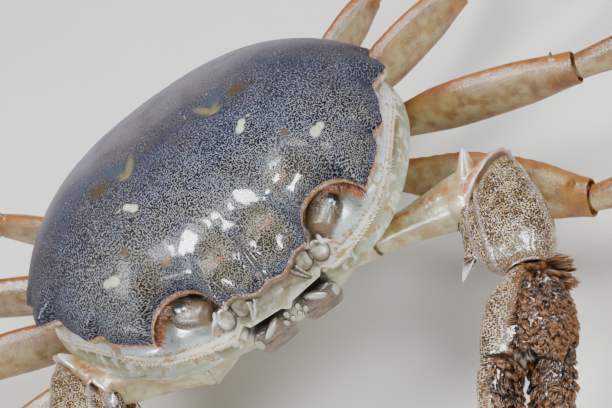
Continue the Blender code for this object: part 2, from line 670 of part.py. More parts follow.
def lock(root, facing, lie, size, sway):
    """One flat, tapered lock that rises from its root and bends down along its lie."""
    flat = (facing - lie * facing.dot(lie)).normalized()
    side = lie.cross(flat).normalized()
    rings = []
    for place, wide, thick in LOCK_STEPS:
        rise = LOCK_RISE * math.sin(math.pi * (0.1 + 0.7 * place)) * size
        centre = root + lie * LOCK_LENGTH * size * place + flat * rise - facing * LOCK_ROOT * (1 - place) ** 3
        centre += side * sway * place * place
        half_wide = side * LOCK_WIDTH / 2 * wide * size
        half_thick = flat * LOCK_THICKNESS / 2 * thick
        rings.append([centre + half_wide, centre + half_thick, centre - half_wide, centre - half_thick])
    return solid_from_rings("lock", rings)


def coat_locks(joints, up):
    """The locks of the matted coat on both faces of a palm, in rows from the wrist to the fingers."""
    along = palm_axes(joints, up)[0]
    locks = []
    for row, (place, first, last, count, lean, size) in enumerate(COAT_ROWS):
        for i in range(count):
            turn = math.radians(first + (last - first) * i / (count - 1))
            root, facing = palm_spot(joints, up, place, turn)
            wander = math.sin(5.3 * i + 2.1 * row)
            angle = math.radians(lean + 5.0 * wander)
            lie = along * math.cos(angle) + facing * math.sin(angle)
            length = size * (1.0 + 0.1 * math.cos(3.7 * i + row))
            locks.append(lock(root, facing, lie.normalized(), length, 0.5 * wander))
    return locks


def add_arm_spine(arm, joints, claw):
    """The spine near the far end of the arm's upper edge."""
    tip = Vector(claw["arm_spine"])
    base = joints[0].lerp(joints[1], 0.8)
    base = base.lerp(tip, 0.35)
    boolean(arm, [spine(base, tip, 1.0)], "UNION")


def add_wrist_spine(wrist, joints, claw):
    """The long sharp spine at the inner angle of the wrist."""
    tip = Vector(claw["wrist_spine"])
    base = joints[1].lerp(joints[2], 0.45)
    base = base.lerp(tip, 0.3)
    boolean(wrist, [spine(base, tip, 1.5)], "UNION")


def finger_centre(joints, up, way, place):
    """The middle of a finger at a place from its root to its tip; way is 1 for the upper one."""
    upward = palm_axes(joints, up)[2]
    part_away = 2.75 * (1 - place**1.6) + 0.42
    arch = 1.1 * math.sin(math.pi * place)
    return joints[3].lerp(joints[4], place) + upward * way * (part_away + arch)


def finger_teeth(joints, up, way):
    """Low blunt teeth along a finger's biting edge."""
    upward = palm_axes(joints, up)[2]
    teeth = []
    for i in range(FINGER_TEETH):
        place = 0.24 + 0.15 * i
        high = curve_value(FINGER, place)[1]
        centre = finger_centre(joints, up, way, place)
        root = centre - upward * way * (high - 0.5)
        tip = centre - upward * way * (high + FINGER_TOOTH_RISE * (1 - 0.1 * i))
        teeth.append(spine(root, tip, 0.62 - 0.05 * i))
    return teeth


def make_finger(name, joints, up, way, sunk):
    """A finger that curves from the palm's end to the tip; way is 1 for the upper one."""
    along = (joints[4] - joints[3]).normalized()
    palm_along, across, upward = palm_axes(joints, up)
    made = []
    rings = 8
    for ring in range(rings + 1):
        place = ring / rings
        thick, high = curve_value(FINGER, place)
        centre = finger_centre(joints, up, way, place)
        centre += palm_along * (-sunk * (1 - place) if sunk else GAP * (1 - place))
        heading = palm_along.lerp(along, min(1.0, place * 2)).normalized()
        flat = across.cross(heading).normalized() * -1
        points = []
        for side in range(12):
            turn = 2 * math.pi * side / 12
            out = across * thick * rounded(math.cos(turn), 2.2)
            out += upward * high * rounded(math.sin(turn), 2.2)
            if place > 0:
                out -= heading * out.dot(heading)
            points.append(centre + out)
        made.append(points)
    return solid_from_rings(name, made)


def make_eye(name, side, grown=0.0):
    """The eye on its short stalk, lying in its socket."""
    inner = Vector((side * 7.4, -14.9, -1.9))
    outer = Vector((side * 11.0, -10.9, -1.5))
    along = (outer - inner).normalized()
    across = along.cross(Vector((0, 0, 1))).normalized()
    upward = across.cross(along)
    profile = ((0.0, 0.62), (0.2, 0.8), (0.42, 1.25), (0.68, 1.5), (0.86, 1.2), (0.97, 0.6), (1.0, 0.3))
    made = []
    rings = 9
    length = (outer - inner).length
    for ring in range(rings + 1):
        place = ring / rings
        radius = float(curve_value(profile, place)[0]) + grown
        centre = inner + along * (length * place + grown * (2 * place - 1))
        points = []
        for step in range(12):
            turn = 2 * math.pi * step / 12
            points.append(centre + (across * math.cos(turn) + upward * math.sin(turn)) * radius)
        made.append(points)
    return solid_from_rings(name, made)


def make_abdomen(name, grown=0.0):
    """The tail flap, folded from the back rim down and forward under the breast."""
    path = (
        (0.0, 24.0, -5.3, 9.4), (0.14, 23.7, -7.8, 9.4), (0.3, 21.6, -11.6, 8.6),
        (0.45, 17.6, -14.8, 7.6), (0.62, 11.0, -16.2, 6.2), (0.8, 3.0, -16.5, 4.2),
        (0.94, -4.4, -16.0, 2.4), (1.0, -7.4, -15.6, 1.0),
    )
    made = []
    rings = 3 * BELLY_SEGMENTS
    for ring in range(rings + 1):
        place = ring / rings
        thick = 0.82 + 0.14 * (ring % 3 == 2) + grown
        y, z, half = curve_value(path, place)
        before = curve_value(path, max(0.0, place - 0.02))
        after = curve_value(path, min(1.0, place + 0.02))
        heading = Vector((0, after[0] - before[0], after[1] - before[1])).normalized()
        outward = Vector((0, -heading.z, heading.y))
        outward = outward if outward.y > 0 or outward.z < 0 else -outward
        centre = Vector((0, y, z))
        if ring in (0, rings):
            centre += heading * (grown if ring else -grown)
        points = []
        for step in range(16):
            turn = 2 * math.pi * step / 16
            out = Vector(((half + grown) * rounded(math.cos(turn), 2.6), 0, 0))
            out += outward * thick * rounded(math.sin(turn), 2.6)
            points.append(centre + out)
        made.append(points)
    return solid_from_rings(name, made)


def make_maxilliped(side):
    """The mouth's outer cover plate, with its short bent feeler."""
    name = "maxilliped_left" if side > 0 else "maxilliped_right"
    plate = ((0.0, 2.3, 0.62), (0.3, 2.75, 0.7), (0.52, 2.5, 0.62), (0.6, 2.6, 0.68), (1.0, 2.1, 0.6))
    top = Vector((side * 3.4, -16.95, -6.5))
    low = Vector((side * 3.1, -13.45, -12.9))
    made = limb(name, low, top, (0, -1, -0.5), plate, None, None, 10, 6, square=2.8)
    palp = limb(
        "palp", top + Vector((side * 1.5, -0.2, -0.8)), top + Vector((side * 0.4, -1.6, -0.2)), (0, 0, 1),
        ((0.0, 0.6, 0.6), (1.0, 0.5, 0.5)), None, None, 8, 2,
    )
    tip = limb(
        "palp_tip", top + Vector((side * 0.6, -1.45, 0.1)), top + Vector((side * -0.6, -1.3, -2.4)), (1, 0, 0),
        ((0.0, 0.55, 0.55), (0.6, 0.5, 0.5), (1.0, 0.3, 0.3)), None, None, 8, 3,
    )
    return boolean(made, [palp, tip], "UNION")


def make_antennule(side):
    """The short inner feeler, folded into its pit under the front."""
    name = "antennule_left" if side > 0 else "antennule_right"
    base = limb(
        name, (side * 4.6, -16.4, -2.9), (side * 2.2, -16.95, -2.75), (0, 0, 1),
        ((0.0, 0.55, 0.6), (0.4, 0.7, 0.85), (1.0, 0.5, 0.6)), None, None, 10, 4,
    )
    whip = limb(
        "whip", (side * 2.6, -16.8, -2.5), (side * 1.0, -17.3, -3.4), (0, 0, 1),
        ((0.0, 0.45, 0.45), (0.6, 0.4, 0.4), (1.0, 0.25, 0.25)), None, None, 8, 3,
    )
    return boolean(base, [whip], "UNION")


def make_antenna(side):
    """The outer feeler: a broad base beside the front and a short whip."""
    name = "antenna_left" if side > 0 else "antenna_right"
    base = limb(
        name, (side * 5.7, -15.9, -3.1), (side * 6.9, -16.6, -1.7), (0, 0, 1),
        ((0.0, 0.75, 0.75), (0.5, 0.85, 0.9), (1.0, 0.6, 0.6)), None, None, 10, 4,
    )
    whip = limb(
        "whip", (side * 6.7, -16.2, -1.9), (side * 8.6, -17.6, -3.0), (0, 0, 1),
        ((0.0, 0.45, 0.45), (0.6, 0.36, 0.36), (1.0, 0.2, 0.2)), None, None, 8, 4, bow=0.3,
    )
    return boolean(base, [whip], "UNION")


def clear_scene():
    """Removes whatever the scene holds."""
    for old in list(bpy.data.objects):
        bpy.data.objects.remove(old, do_unlink=True)


def dress(made, look):
    """Gives a piece its own material and smooth shading on its round faces."""
    made.data.materials.clear()
    made.data.materials.append(new_material(made.name, look))
    made.data.shade_smooth()
    made.data.set_sharp_from_angle(angle=math.radians(40))


def stand_on_floor(pieces):
    """Hangs every piece on one frame, with the floor under its lowest point and its box centred."""
    frame = bpy.data.objects.new("crab_frame", None)
    bpy.context.scene.collection.objects.link(frame)
    corners = np.array([tuple(v.co) for piece in pieces for v in piece.data.vertices])
    low, high = corners.min(axis=0), corners.max(axis=0)
    frame.location = (-(low[0] + high[0]) / 2, -(low[1] + high[1]) / 2, -low[2])
    for piece in pieces:
        piece.parent = frame


def main():
    """Builds every piece of the crab."""
    clear_scene()
    pieces = [(make_carapace(), SHELL_BLUE), (make_thorax(), SHELL_CREAM)]
    pieces.append((make_abdomen("abdomen"), SHELL_CREAM))
    for side, word in ((1, "left"), (-1, "right")):
        pieces.append((make_eye("eye_" + word, side), EYE_GREY))
        pieces.append((make_maxilliped(side), FACE_GREEN))
        pieces.append((make_antennule(side), FACE_GREEN))
        pieces.append((make_antenna(side), FACE_GREEN))
        pieces += [(piece, CLAW_OCHRE) for piece in make_claw(word)]
    for key in LEGS:
        pieces += zip(make_leg(key), (LIMB_BROWN, LIMB_TAN, LIMB_BROWN, LIMB_TAN))
    group = bpy.data.collections.new("river_crab")
    bpy.context.scene.collection.children.link(group)
    for piece, look in pieces:
        dress(piece, look)
        bpy.context.scene.collection.objects.unlink(piece)
        group.objects.link(piece)
    stand_on_floor([piece for piece, _ in pieces])


main()
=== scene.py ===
"""Looks of the river crab: a dotted, wet, blue-grey shell, brown legs and matted palms.

Shapes are worked out in the body's own units, fiftieths of the shell's width, measured from the
middle of the body at the level of the side teeth: X is the crab's left, Y its back and Z up. The
frame gives the size of a unit and where the body stands.
"""

import math

import bmesh
import bpy
import numpy as np
from mathutils import Matrix, Vector, kdtree, noise


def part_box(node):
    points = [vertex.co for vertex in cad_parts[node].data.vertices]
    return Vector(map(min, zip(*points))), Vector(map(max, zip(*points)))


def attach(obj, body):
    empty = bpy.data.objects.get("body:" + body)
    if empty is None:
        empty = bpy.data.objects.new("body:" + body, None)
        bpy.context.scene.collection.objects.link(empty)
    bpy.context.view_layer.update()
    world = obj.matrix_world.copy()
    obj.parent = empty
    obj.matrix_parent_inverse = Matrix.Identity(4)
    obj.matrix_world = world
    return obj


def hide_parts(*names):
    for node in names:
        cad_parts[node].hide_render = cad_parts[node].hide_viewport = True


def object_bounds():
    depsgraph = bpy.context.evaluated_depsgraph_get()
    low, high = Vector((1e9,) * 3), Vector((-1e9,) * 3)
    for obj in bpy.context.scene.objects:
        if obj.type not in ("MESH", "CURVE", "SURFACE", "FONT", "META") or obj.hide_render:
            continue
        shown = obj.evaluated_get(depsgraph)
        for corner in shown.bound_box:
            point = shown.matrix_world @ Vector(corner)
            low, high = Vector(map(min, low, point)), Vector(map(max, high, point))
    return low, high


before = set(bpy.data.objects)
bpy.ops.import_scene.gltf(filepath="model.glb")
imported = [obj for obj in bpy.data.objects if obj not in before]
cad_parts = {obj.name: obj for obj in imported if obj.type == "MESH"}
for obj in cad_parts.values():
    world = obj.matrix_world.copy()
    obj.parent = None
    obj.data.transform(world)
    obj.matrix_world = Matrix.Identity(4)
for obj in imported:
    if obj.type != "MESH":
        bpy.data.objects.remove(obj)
CAD_BOX = [list(corner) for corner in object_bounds()]

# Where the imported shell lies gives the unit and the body's place.
SHELL_LOW, SHELL_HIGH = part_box("carapace")
SHELL_SPAN_Y = 24.4
SHELL_HEM_Z = -9.0
UNIT = 0.056 / 50
ORIGIN = np.array((
    (SHELL_LOW.x + SHELL_HIGH.x) / 2,
    SHELL_HIGH.y - SHELL_SPAN_Y * UNIT,
    SHELL_LOW.z - SHELL_HEM_Z * UNIT,
))
FLOOR = -25.0
GAP = 0.0003 / UNIT
BODY_CENTRE_Y = 1.0

# The camera that the photograph's outline fits, in body units and degrees.
LENS_MM = 100.0
SENSOR_MM = 36.0
CAMERA_AZIMUTH = math.radians(-0.23)
CAMERA_ELEVATION = math.radians(40.0)
CAMERA_ROLL = math.radians(-36.58)
CAMERA_DISTANCE = 196.7
CAMERA_SHIFT_RIGHT = -11.1
CAMERA_SHIFT_UP = 1.1

# Half outlines of the body, from the front midline to the back midline, as (x, y, z).
RIM = (
    (0.0, -17.5, -0.8), (1.6, -17.9, -0.9), (3.1, -17.4, -0.7), (4.4, -16.6, -0.5),
    (5.1, -16.6, -0.5), (5.75, -16.9, -0.5), (6.0, -16.2, -0.3), (6.4, -15.0, 0.1),
    (7.0, -13.8, 0.6), (8.0, -12.9, 1.0), (9.3, -12.3, 1.1), (10.8, -11.9, 0.9),
    (12.2, -11.9, 0.4), (13.3, -12.2, -0.4), (14.0, -12.9, -1.1), (14.5, -13.8, -1.6),
    (15.4, -13.1, -1.5), (17.2, -11.6, -1.2), (18.5, -10.0, -0.9), (18.9, -8.6, -0.5),
    (20.4, -8.4, -0.2), (21.2, -6.6, 0.0), (22.0, -4.4, 0.0), (22.4, -2.3, 0.0),
    (25.0, -1.2, 0.2), (24.9, 0.6, 0.2), (24.5, 2.4, 0.1), (25.0, 3.4, 0.1),
    (24.5, 5.4, -0.3), (23.5, 8.4, -0.8), (21.6, 12.6, -1.4), (18.6, 17.2, -2.0),
    (15.2, 20.4, -2.4), (12.2, 22.4, -2.7), (10.6, 23.2, -2.9), (6.0, 24.1, -3.0),
    (0.0, 24.4, -3.0),
)
RECESS = (
    (0.0, -15.9, -2.2), (1.6, -15.6, -2.3), (4.0, -15.3, -2.2), (5.6, -14.8, -1.6),
    (7.0, -12.2, -0.9), (9.3, -10.9, -0.5), (11.6, -10.5, -0.7), (13.4, -11.0, -1.6),
    (14.6, -12.2, -2.5), (16.4, -11.2, -2.4), (17.8, -9.4, -2.0), (18.1, -8.0, -1.7),
    (19.7, -7.6, -1.5), (21.0, -4.2, -1.3), (21.6, -2.0, -1.2), (23.8, -0.9, -1.1),
    (23.9, 2.6, -1.2), (23.3, 6.4, -1.6), (20.8, 12.2, -2.8), (14.6, 19.8, -3.8),
    (10.2, 22.2, -4.2), (0.0, 23.1, -4.4),
)
ORBIT_FLOOR = (
    (0.0, -16.2, -3.7), (2.4, -15.9, -3.7), (5.0, -15.6, -3.6), (6.6, -14.8, -3.5),
    (8.6, -14.0, -3.5), (11.0, -13.3, -3.5), (13.4, -12.2, -3.6), (15.2, -11.6, -3.7),
    (17.6, -9.5, -3.6), (19.6, -7.0, -3.2), (21.6, -3.4, -2.9), (23.6, 0.0, -2.8),
    (23.6, 5.0, -3.2), (21.0, 11.8, -4.2), (14.4, 19.6, -5.2), (10.0, 22.0, -5.6),
    (0.0, 22.8, -5.8),
)
CREST = (
    (0.0, -18.7, -4.6), (0.8, -18.1, -4.4), (3.1, -17.9, -4.3), (4.6, -17.7, -4.3),
    (5.4, -16.6, -4.2), (6.6, -17.5, -4.4), (8.7, -17.1, -4.5), (9.9, -16.6, -4.5),
    (11.1, -16.1, -4.5), (12.7, -15.2, -4.5), (14.4, -14.1, -4.5), (15.9, -12.8, -4.5),
    (17.3, -11.1, -4.5), (19.2, -8.4, -4.4), (21.4, -4.8, -4.4), (23.8, -0.6, -4.4),
    (24.3, 3.0, -4.5), (23.6, 6.8, -4.8), (21.2, 12.0, -5.6), (14.4, 19.6, -6.4),
    (10.0, 21.8, -6.8), (0.0, 22.6, -7.0),
)
UNDERCUT = (
    (0.0, -16.0, -5.5), (4.4, -15.6, -5.5), (5.4, -17.0, -5.7), (7.0, -17.9, -6.0),
    (8.9, -17.5, -6.0), (9.9, -16.2, -5.6), (12.6, -14.9, -5.3), (15.8, -12.6, -5.3),
    (18.6, -9.9, -5.3), (21.4, -5.9, -5.4), (24.1, -0.6, -5.4), (24.8, 3.4, -5.5),
    (23.9, 7.4, -5.8), (21.2, 12.2, -6.4), (14.4, 19.5, -7.2), (10.0, 21.5, -7.5),
    (0.0, 22.3, -7.6),
)
WALL = (
    (0.0, -15.2, -7.0), (4.2, -15.1, -7.0), (6.4, -15.7, -7.2), (8.8, -16.0, -7.3),
    (12.0, -15.6, -7.3), (15.4, -13.7, -7.3), (18.4, -10.8, -7.3), (21.6, -6.4, -7.3),
    (24.3, -0.6, -7.2), (25.0, 3.6, -7.2), (24.0, 7.6, -7.3), (21.0, 12.4, -7.6),
    (14.4, 19.3, -8.2), (10.0, 21.1, -8.4), (0.0, 21.9, -8.4),
)
HEM = (
    (0.0, -14.1, -9.0), (6.0, -14.0, -9.0), (10.4, -13.6, -9.0), (13.8, -11.6, -9.0),
    (17.0, -8.4, -9.0), (20.4, -4.4, -9.0), (23.2, 0.2, -9.0), (23.8, 4.4, -9.0),
    (22.4, 9.2, -9.0), (18.6, 14.4, -9.0), (13.6, 18.8, -9.0), (9.6, 20.6, -9.0),
    (0.0, 21.4, -9.0),
)
BREAST_TOP = (
    (0.0, -13.8, -9.3), (6.0, -13.6, -9.3), (10.2, -12.6, -9.3), (13.6, -10.2, -9.3),
    (17.4, -7.0, -9.3), (20.3, -2.0, -9.3), (21.3, 4.0, -9.3), (19.8, 11.0, -9.3),
    (15.8, 16.6, -9.3), (10.2, 19.8, -9.3), (0.0, 20.7, -9.3),
)
BREAST_SIDE = (
    (0.0, -12.8, -11.4), (6.0, -12.5, -11.4), (9.6, -11.4, -11.4), (12.8, -9.0, -11.4),
    (16.2, -5.4, -11.4), (18.2, 0.0, -11.4), (18.7, 5.0, -11.4), (17.2, 11.4, -11.4),
    (13.8, 16.2, -11.4), (8.8, 18.8, -11.4), (0.0, 19.6, -11.4),
)
BREAST_EDGE = (
    (0.0, -11.4, -13.8), (5.4, -11.0, -13.8), (8.8, -9.8, -13.8), (11.8, -7.0, -13.8),
    (14.4, -3.2, -13.8), (15.8, 1.6, -13.8), (15.8, 6.4, -13.8), (14.2, 11.6, -13.8),
    (11.2, 15.0, -13.8), (7.2, 16.8, -13.8), (0.0, 17.4, -13.8),
)
BREAST_FLAT = (
    (0.0, -9.4, -15.2), (5.0, -8.8, -15.2), (8.2, -7.0, -15.2), (10.8, -3.4, -15.2),
    (12.0, 1.6, -15.2), (11.6, 6.6, -15.2), (9.4, 10.8, -15.2), (5.6, 13.0, -15.2),
    (0.0, 13.6, -15.2),
)
BREAST_DEPTH = -15.6

# The shell: its height, how far its rim's teeth reach into the dome, and its beads and crest teeth.
DOME_TOP = 9.1
DOME_POWER = 3.0
DOME_POWER_DROP = 0.9
DOME_FALL = 0.66
DOME_FALL_RISE = 0.26
BACK_FROM = 1.2
RING_CROWDING = 1.9
RIM_SOFTNESS = math.radians(11.0)
RIM_ROUNDING = math.radians(2.2)
RIM_REACH = 1.4
BEAD_REACH = 0.4
DOME_RINGS = 110
CREST_TEETH = 26
BEAD_PITCH = 0.46
BEAD_DEPTH = 0.05
RIM_SWELL = 0.14
SWELL_AT = 0.26
SWELL_WIDTH = 0.16
RIM_BAND = 0.42
BORDER_WIDTH = 1.5
LIP_IN = 0.35
LIP_DROP = 0.8
CREST_BASE = 0.12
CREST_WIDTH = 0.075
CREST_TOOTH_RISE = 0.62
CREST_FROM = math.radians(27.0)
CREST_TO = math.radians(62.0)

# Lobes with steep edges, as centre, radii, rise and softness; grooves as a line, its width and depth.
LOBES = (
    ((3.1, -16.0, 2.5), (2.3, 2.6, 1.9), 0.5, 0.24), ((3.6, -11.8, 6.4), (3.1, 2.2, 3.0), 0.2, 0.3),
    ((7.3, -12.2, 3.9), (1.7, 1.5, 2.6), 0.16, 0.35), ((0.0, -4.5, 9.0), (4.4, 5.6, 4.0), 0.1, 0.4),
)
GROOVES = (
    (((0.15, -17.0), (0.1, -16.0), (0.05, -14.8)), 0.4, 0.22),
    (((0.0, 2.6), (1.6, 2.5), (3.6, 1.8), (5.0, 0.9), (5.9, 0.6), (6.4, 1.6), (7.0, 2.2)), 0.42, 0.22),
    (((5.9, 0.6), (6.1, -0.8), (7.4, -2.4), (10.0, -4.0)), 0.45, 0.08),
    (((7.0, 2.2), (10.4, 3.4), (14.6, 3.6), (19.0, 3.0)), 0.6, 0.08),
)

# Swellings and hollows of the shell, as (x, y, half length across, half length along, rise).
REGIONS = (
    (2.4, -10.8, 1.9, 2.2, 0.35), (0.0, -11.4, 0.7, 2.4, -0.1), (0.0, -3.0, 5.5, 5.0, 0.45),
    (6.2, 2.2, 1.4, 2.2, -0.45), (2.6, 6.4, 3.0, 0.9, -0.35), (0.0, 12.2, 4.2, 3.6, 0.5),
    (14.6, 2.6, 5.4, 6.8, 0.7), (13.2, -6.4, 3.4, 2.6, 0.12), (9.8, 10.8, 1.6, 4.4, -0.4),
)

# Lengths of a leg's three outer pieces, by its number.
LEG_LENGTHS = {2: (9.0, 12.5, 12.5), 3: (9.8, 13.8, 13.5), 4: (9.6, 13.4, 13.0), 5: (7.6, 10.6, 10.0)}
# Each leg's root, knee, heading of its outer pieces in degrees, and half height of its thigh.
LEGS = {
    ("left", 2): ((18.2, -0.4, -13.4), (34.5, -21.8, -16.0), -40.0, 3.4),
    ("left", 3): ((19.8, 6.8, -12.5), (42.6, -10.3, -9.0), -22.0, 3.3),
    ("left", 4): ((18.4, 13.2, -12.5), (39.8, 14.2, -8.6), 8.0, 3.2),
    ("left", 5): ((14.6, 18.2, -12.2), (31.2, 24.0, -8.4), 34.0, 2.8),
    ("right", 2): ((-18.2, -0.2, -13.8), (-39.4, 4.4, -15.2), 184.0, 3.0),
    ("right", 3): ((-19.8, 6.8, -12.8), (-40.8, 12.2, -7.0), 176.0, 3.3),
    ("right", 4): ((-18.4, 13.2, -12.5), (-35.8, 23.6, -7.8), 154.0, 3.2),
    ("right", 5): ((-14.4, 18.4, -12.2), (-25.6, 31.2, -7.6), 130.0, 2.8),
}
# Which way the thigh's blade stands where it leans.
BLADE_UP = {("left", 2): (0.5, 0.35, 0.8)}
LEG_PIECES = ("merus", "carpus", "propodus", "dactylus")

# Each claw's joints from root to finger tip, the way up of its pieces, and the tips of its spines.
CLAWS = {
    "left": {
        "joints": (
            (12.4, -9.6, -12.8), (26.2, -17.0, -9.8), (22.9, -30.2, -10.8),
            (16.4, -38.2, -13.0), (8.2, -49.4, -16.6),
        ),
        "arm_up": (0.1, -0.2, 1.0),
        "wrist_up": (-0.1, -0.1, 1.0),
        "palm_up": (-0.74, 0.42, 0.50),
        "arm_spine": (26.0, -14.2, -4.8),
        "wrist_spine": (17.0, -25.2, -10.6),
    },
    "right": {
        "joints": (
            (-12.4, -9.8, -13.0), (-25.5, -2.4, -9.6), (-30.4, -16.2, -11.6),
            (-24.6, -25.0, -13.8), (-14.8, -34.4, -17.2),
        ),
        "arm_up": (-0.1, -0.2, 1.0),
        "wrist_up": (0.1, -0.1, 1.0),
        "palm_up": (0.74, 0.42, 0.50),
        "arm_spine": (-25.8, 0.0, -5.4),
        "wrist_spine": (-22.6, -8.6, -8.2),
    },
}

# Section profiles along a limb: (place, half thickness, half height).
THIGH = ((0.0, 1.5, 1.7), (0.14, 1.5, 2.0), (0.4, 1.75, 3.1), (0.75, 1.65, 3.0), (1.0, 1.6, 2.0))
KNEE = ((0.0, 1.35, 1.6), (0.35, 1.5, 1.9), (0.8, 1.7, 2.3), (1.0, 1.55, 1.9))
SHIN = ((0.0, 1.3, 1.6), (0.3, 1.35, 2.1), (0.75, 1.15, 1.7), (1.0, 0.95, 1.2))
TOE = ((0.0, 0.85, 1.1), (0.25, 0.9, 1.25), (0.6, 0.7, 0.9), (0.9, 0.42, 0.5), (1.0, 0.36, 0.36))
ARM = ((0.0, 1.6, 1.7), (0.3, 2.0, 2.1), (0.7, 3.0, 2.9), (0.93, 3.7, 3.1), (1.0, 3.6, 2.9))
WRIST = ((0.0, 3.1, 2.4), (0.12, 4.0, 3.2), (0.45, 4.7, 3.9), (0.75, 4.1, 3.5), (1.0, 2.3, 2.4))
PALM = ((0.0, 2.1, 2.6), (0.3, 2.8, 4.3), (0.65, 3.1, 4.9), (0.9, 2.9, 4.9), (1.0, 2.7, 4.7))
PALM_SQUARE = 2.3
FINGER_TEETH = 7
FINGER_SUNK = 1.4
FINGER = ((0.0, 2.0, 2.2), (0.3, 1.9, 2.0), (0.65, 1.35, 1.4), (0.92, 0.65, 0.6), (1.0, 0.3, 0.3))
LEG_STUB = ((0.0, 1.7, 1.9), (0.6, 2.0, 2.2), (1.0, 1.8, 2.0))
CLAW_STUB = ((0.0, 1.9, 1.9), (0.6, 2.0, 2.0), (1.0, 1.8, 1.9))
# Limb pieces: their mesh, the beads of their keels, and the share of an end that leans to its joint.
LIMB_SIDES = 48
LIMB_RINGS = 44
KEEL_WIDTH = 0.018
KEEL_BEAD = 0.35
KEEL_PITCH = 0.55
LEAN_REACH = 0.3
# The hollow at a limb piece's outer end, as (share of the ring, way along).
CUP = ((1.0, 0.0), (0.975, 0.07), (0.93, 0.05), (0.885, -0.1), (0.86, -0.4), (0.74, -0.7), (0.4, -0.85))
FUSE_VOXEL = 0.15


def place(points):
    """Body units to metres in the frame."""
    return ORIGIN + np.asarray(points, float) * UNIT


def rgb(red, green, blue):
    """A display colour from 0 to 255, as scene light."""
    shares = (red / 255, green / 255, blue / 255)
    return tuple(c / 12.92 if c < 10.3 / 255 else ((c + 0.055) / 1.055) ** 2.4 for c in shares)


def unit(vector):
    """A vector or an array of them, at length one."""
    vector = np.asarray(vector, float)
    return vector / np.linalg.norm(vector, axis=-1, keepdims=True)


def hermite(t, start, end, start_slope, end_slope, step=1.0):
    """The cubic through two values with the slopes stated there, at places t from 0 to 1."""
    return (
        (2 * t**3 - 3 * t**2 + 1) * start + (t**3 - 2 * t**2 + t) * step * start_slope
        + (3 * t**2 - 2 * t**3) * end + (t**3 - t**2) * step * end_slope
    )


def monotone(x, xs, ys):
    """A smooth curve through points that never swings past them."""
    xs, ys = np.asarray(xs, float), np.asarray(ys, float)
    step = np.diff(xs)
    slope = np.diff(ys) / step
    same = slope[:-1] * slope[1:] > 0
    before = np.where(same, slope[:-1], 1.0)
    after = np.where(same, slope[1:], 1.0)
    first = 2 * step[1:] + step[:-1]
    second = step[1:] + 2 * step[:-1]
    turn = np.zeros(len(xs))
    turn[1:-1] = np.where(same, (first + second) / (first / before + second / after), 0.0)
    index = np.clip(np.searchsorted(xs, x) - 1, 0, len(xs) - 2)
    t = (x - xs[index]) / step[index]
    return hermite(t, ys[index], ys[index + 1], turn[index], turn[index + 1], step[index])


def between_rows(rows, t):
    """Rows of values at whole numbers, read smoothly at each t: rows (K, N) and t (T) give (T, N)."""
    rows = np.asarray(rows, float)
    slope = np.diff(rows, axis=0)
    same = slope[:-1] * slope[1:] > 0
    turn = np.zeros_like(rows)
    turn[1:-1] = np.where(same, 2 * slope[:-1] * slope[1:] / np.where(same, slope[:-1] + slope[1:], 1.0), 0.0)
    index = np.clip(t.astype(int), 0, len(rows) - 2)
    s = (t - index)[:, None]
    return hermite(s, rows[index], rows[index + 1], turn[index], turn[index + 1])


def profile_curve(profile, where):
    """Values of a profile at places from 0 to 1, on a smooth curve through its points."""
    table = np.asarray(profile, float)
    places, values = table[:, 0], table[:, 1:]
    index = np.clip(np.searchsorted(places, where) - 1, 0, len(places) - 2)
    before = values[np.maximum(index - 1, 0)]
    first, second = values[index], values[index + 1]
    after = values[np.minimum(index + 2, len(places) - 1)]
    t = ((where - places[index]) / (places[index + 1] - places[index]))[..., None]
    made = hermite(t, first, second, (second - before) / 2, (after - first) / 2)
    return [made[..., k] for k in range(made.shape[-1])]


def around(sides):
    """Even turns round a ring, from 0."""
    return 2 * math.pi * np.arange(sides) / sides


def smooth_step(low, high, value):
    """0 below low, 1 above high, and an even slope between."""
    t = np.clip((value - low) / (high - low), 0.0, 1.0)
    return t * t * (3 - 2 * t)


# A shape is a dict: v, points in body units; f, faces; and named values for each point.


def ring_shape(rings, **values):
    """A closed skin over rings of points, its ends drawn together; values are (ring, side) arrays."""
    rings = np.asarray(rings, float)
    count, sides = rings.shape[:2]
    points = np.concatenate([rings.reshape(-1, 3), rings[0].mean(0)[None], rings[-1].mean(0)[None]])
    here = np.arange(count - 1)[:, None] * sides + np.arange(sides)
    ahead = np.arange(count - 1)[:, None] * sides + (np.arange(sides) + 1) % sides
    quads = np.stack([here, ahead, ahead + sides, here + sides], -1).reshape(-1, 4)
    column = np.arange(sides)
    first = np.stack([np.full(sides, count * sides), (column + 1) % sides, column], -1)
    base = (count - 1) * sides
    last = np.stack([np.full(sides, count * sides + 1), base + column, base + (column + 1) % sides], -1)
    volume = signed_volume(points, quads)
    if volume < 0:
        quads, first, last = quads[:, ::-1], first[:, ::-1], last[:, ::-1]
    shape = {"v": points, "f": quads.tolist() + first.tolist() + last.tolist()}
    for name, value in values.items():
        value = np.broadcast_to(value, (count, sides)).astype(float)
        ends = [value[0].mean(), value[-1].mean()]
        shape[name] = np.concatenate([value.reshape(-1), ends])
    return shape


def signed_volume(points, quads):
    """The volume inside quads, above zero where they face outwards."""
    a, b, c, d = (points[quads[:, k]] for k in range(4))
    return (np.einsum("ij,ij->i", a, np.cross(b, c)) + np.einsum("ij,ij->i", a, np.cross(c, d))).sum() / 6


def joined(shapes):
    """Several shapes as one."""
    names = {name for shape in shapes for name in shape} - {"v", "f"}
    made = {"v": np.concatenate([shape["v"] for shape in shapes]), "f": []}
    start = 0
    for shape in shapes:
        made["f"] += [[index + start for index in face] for face in shape["f"]]
        start += len(shape["v"])
    for name in names:
        made[name] = np.concatenate([shape.get(name, np.zeros(len(shape["v"]))) for shape in shapes])
    return made


def linked(name, data):
    """A new object in the scene."""
    made = bpy.data.objects.new(name, data)
    bpy.context.scene.collection.objects.link(made)
    return made


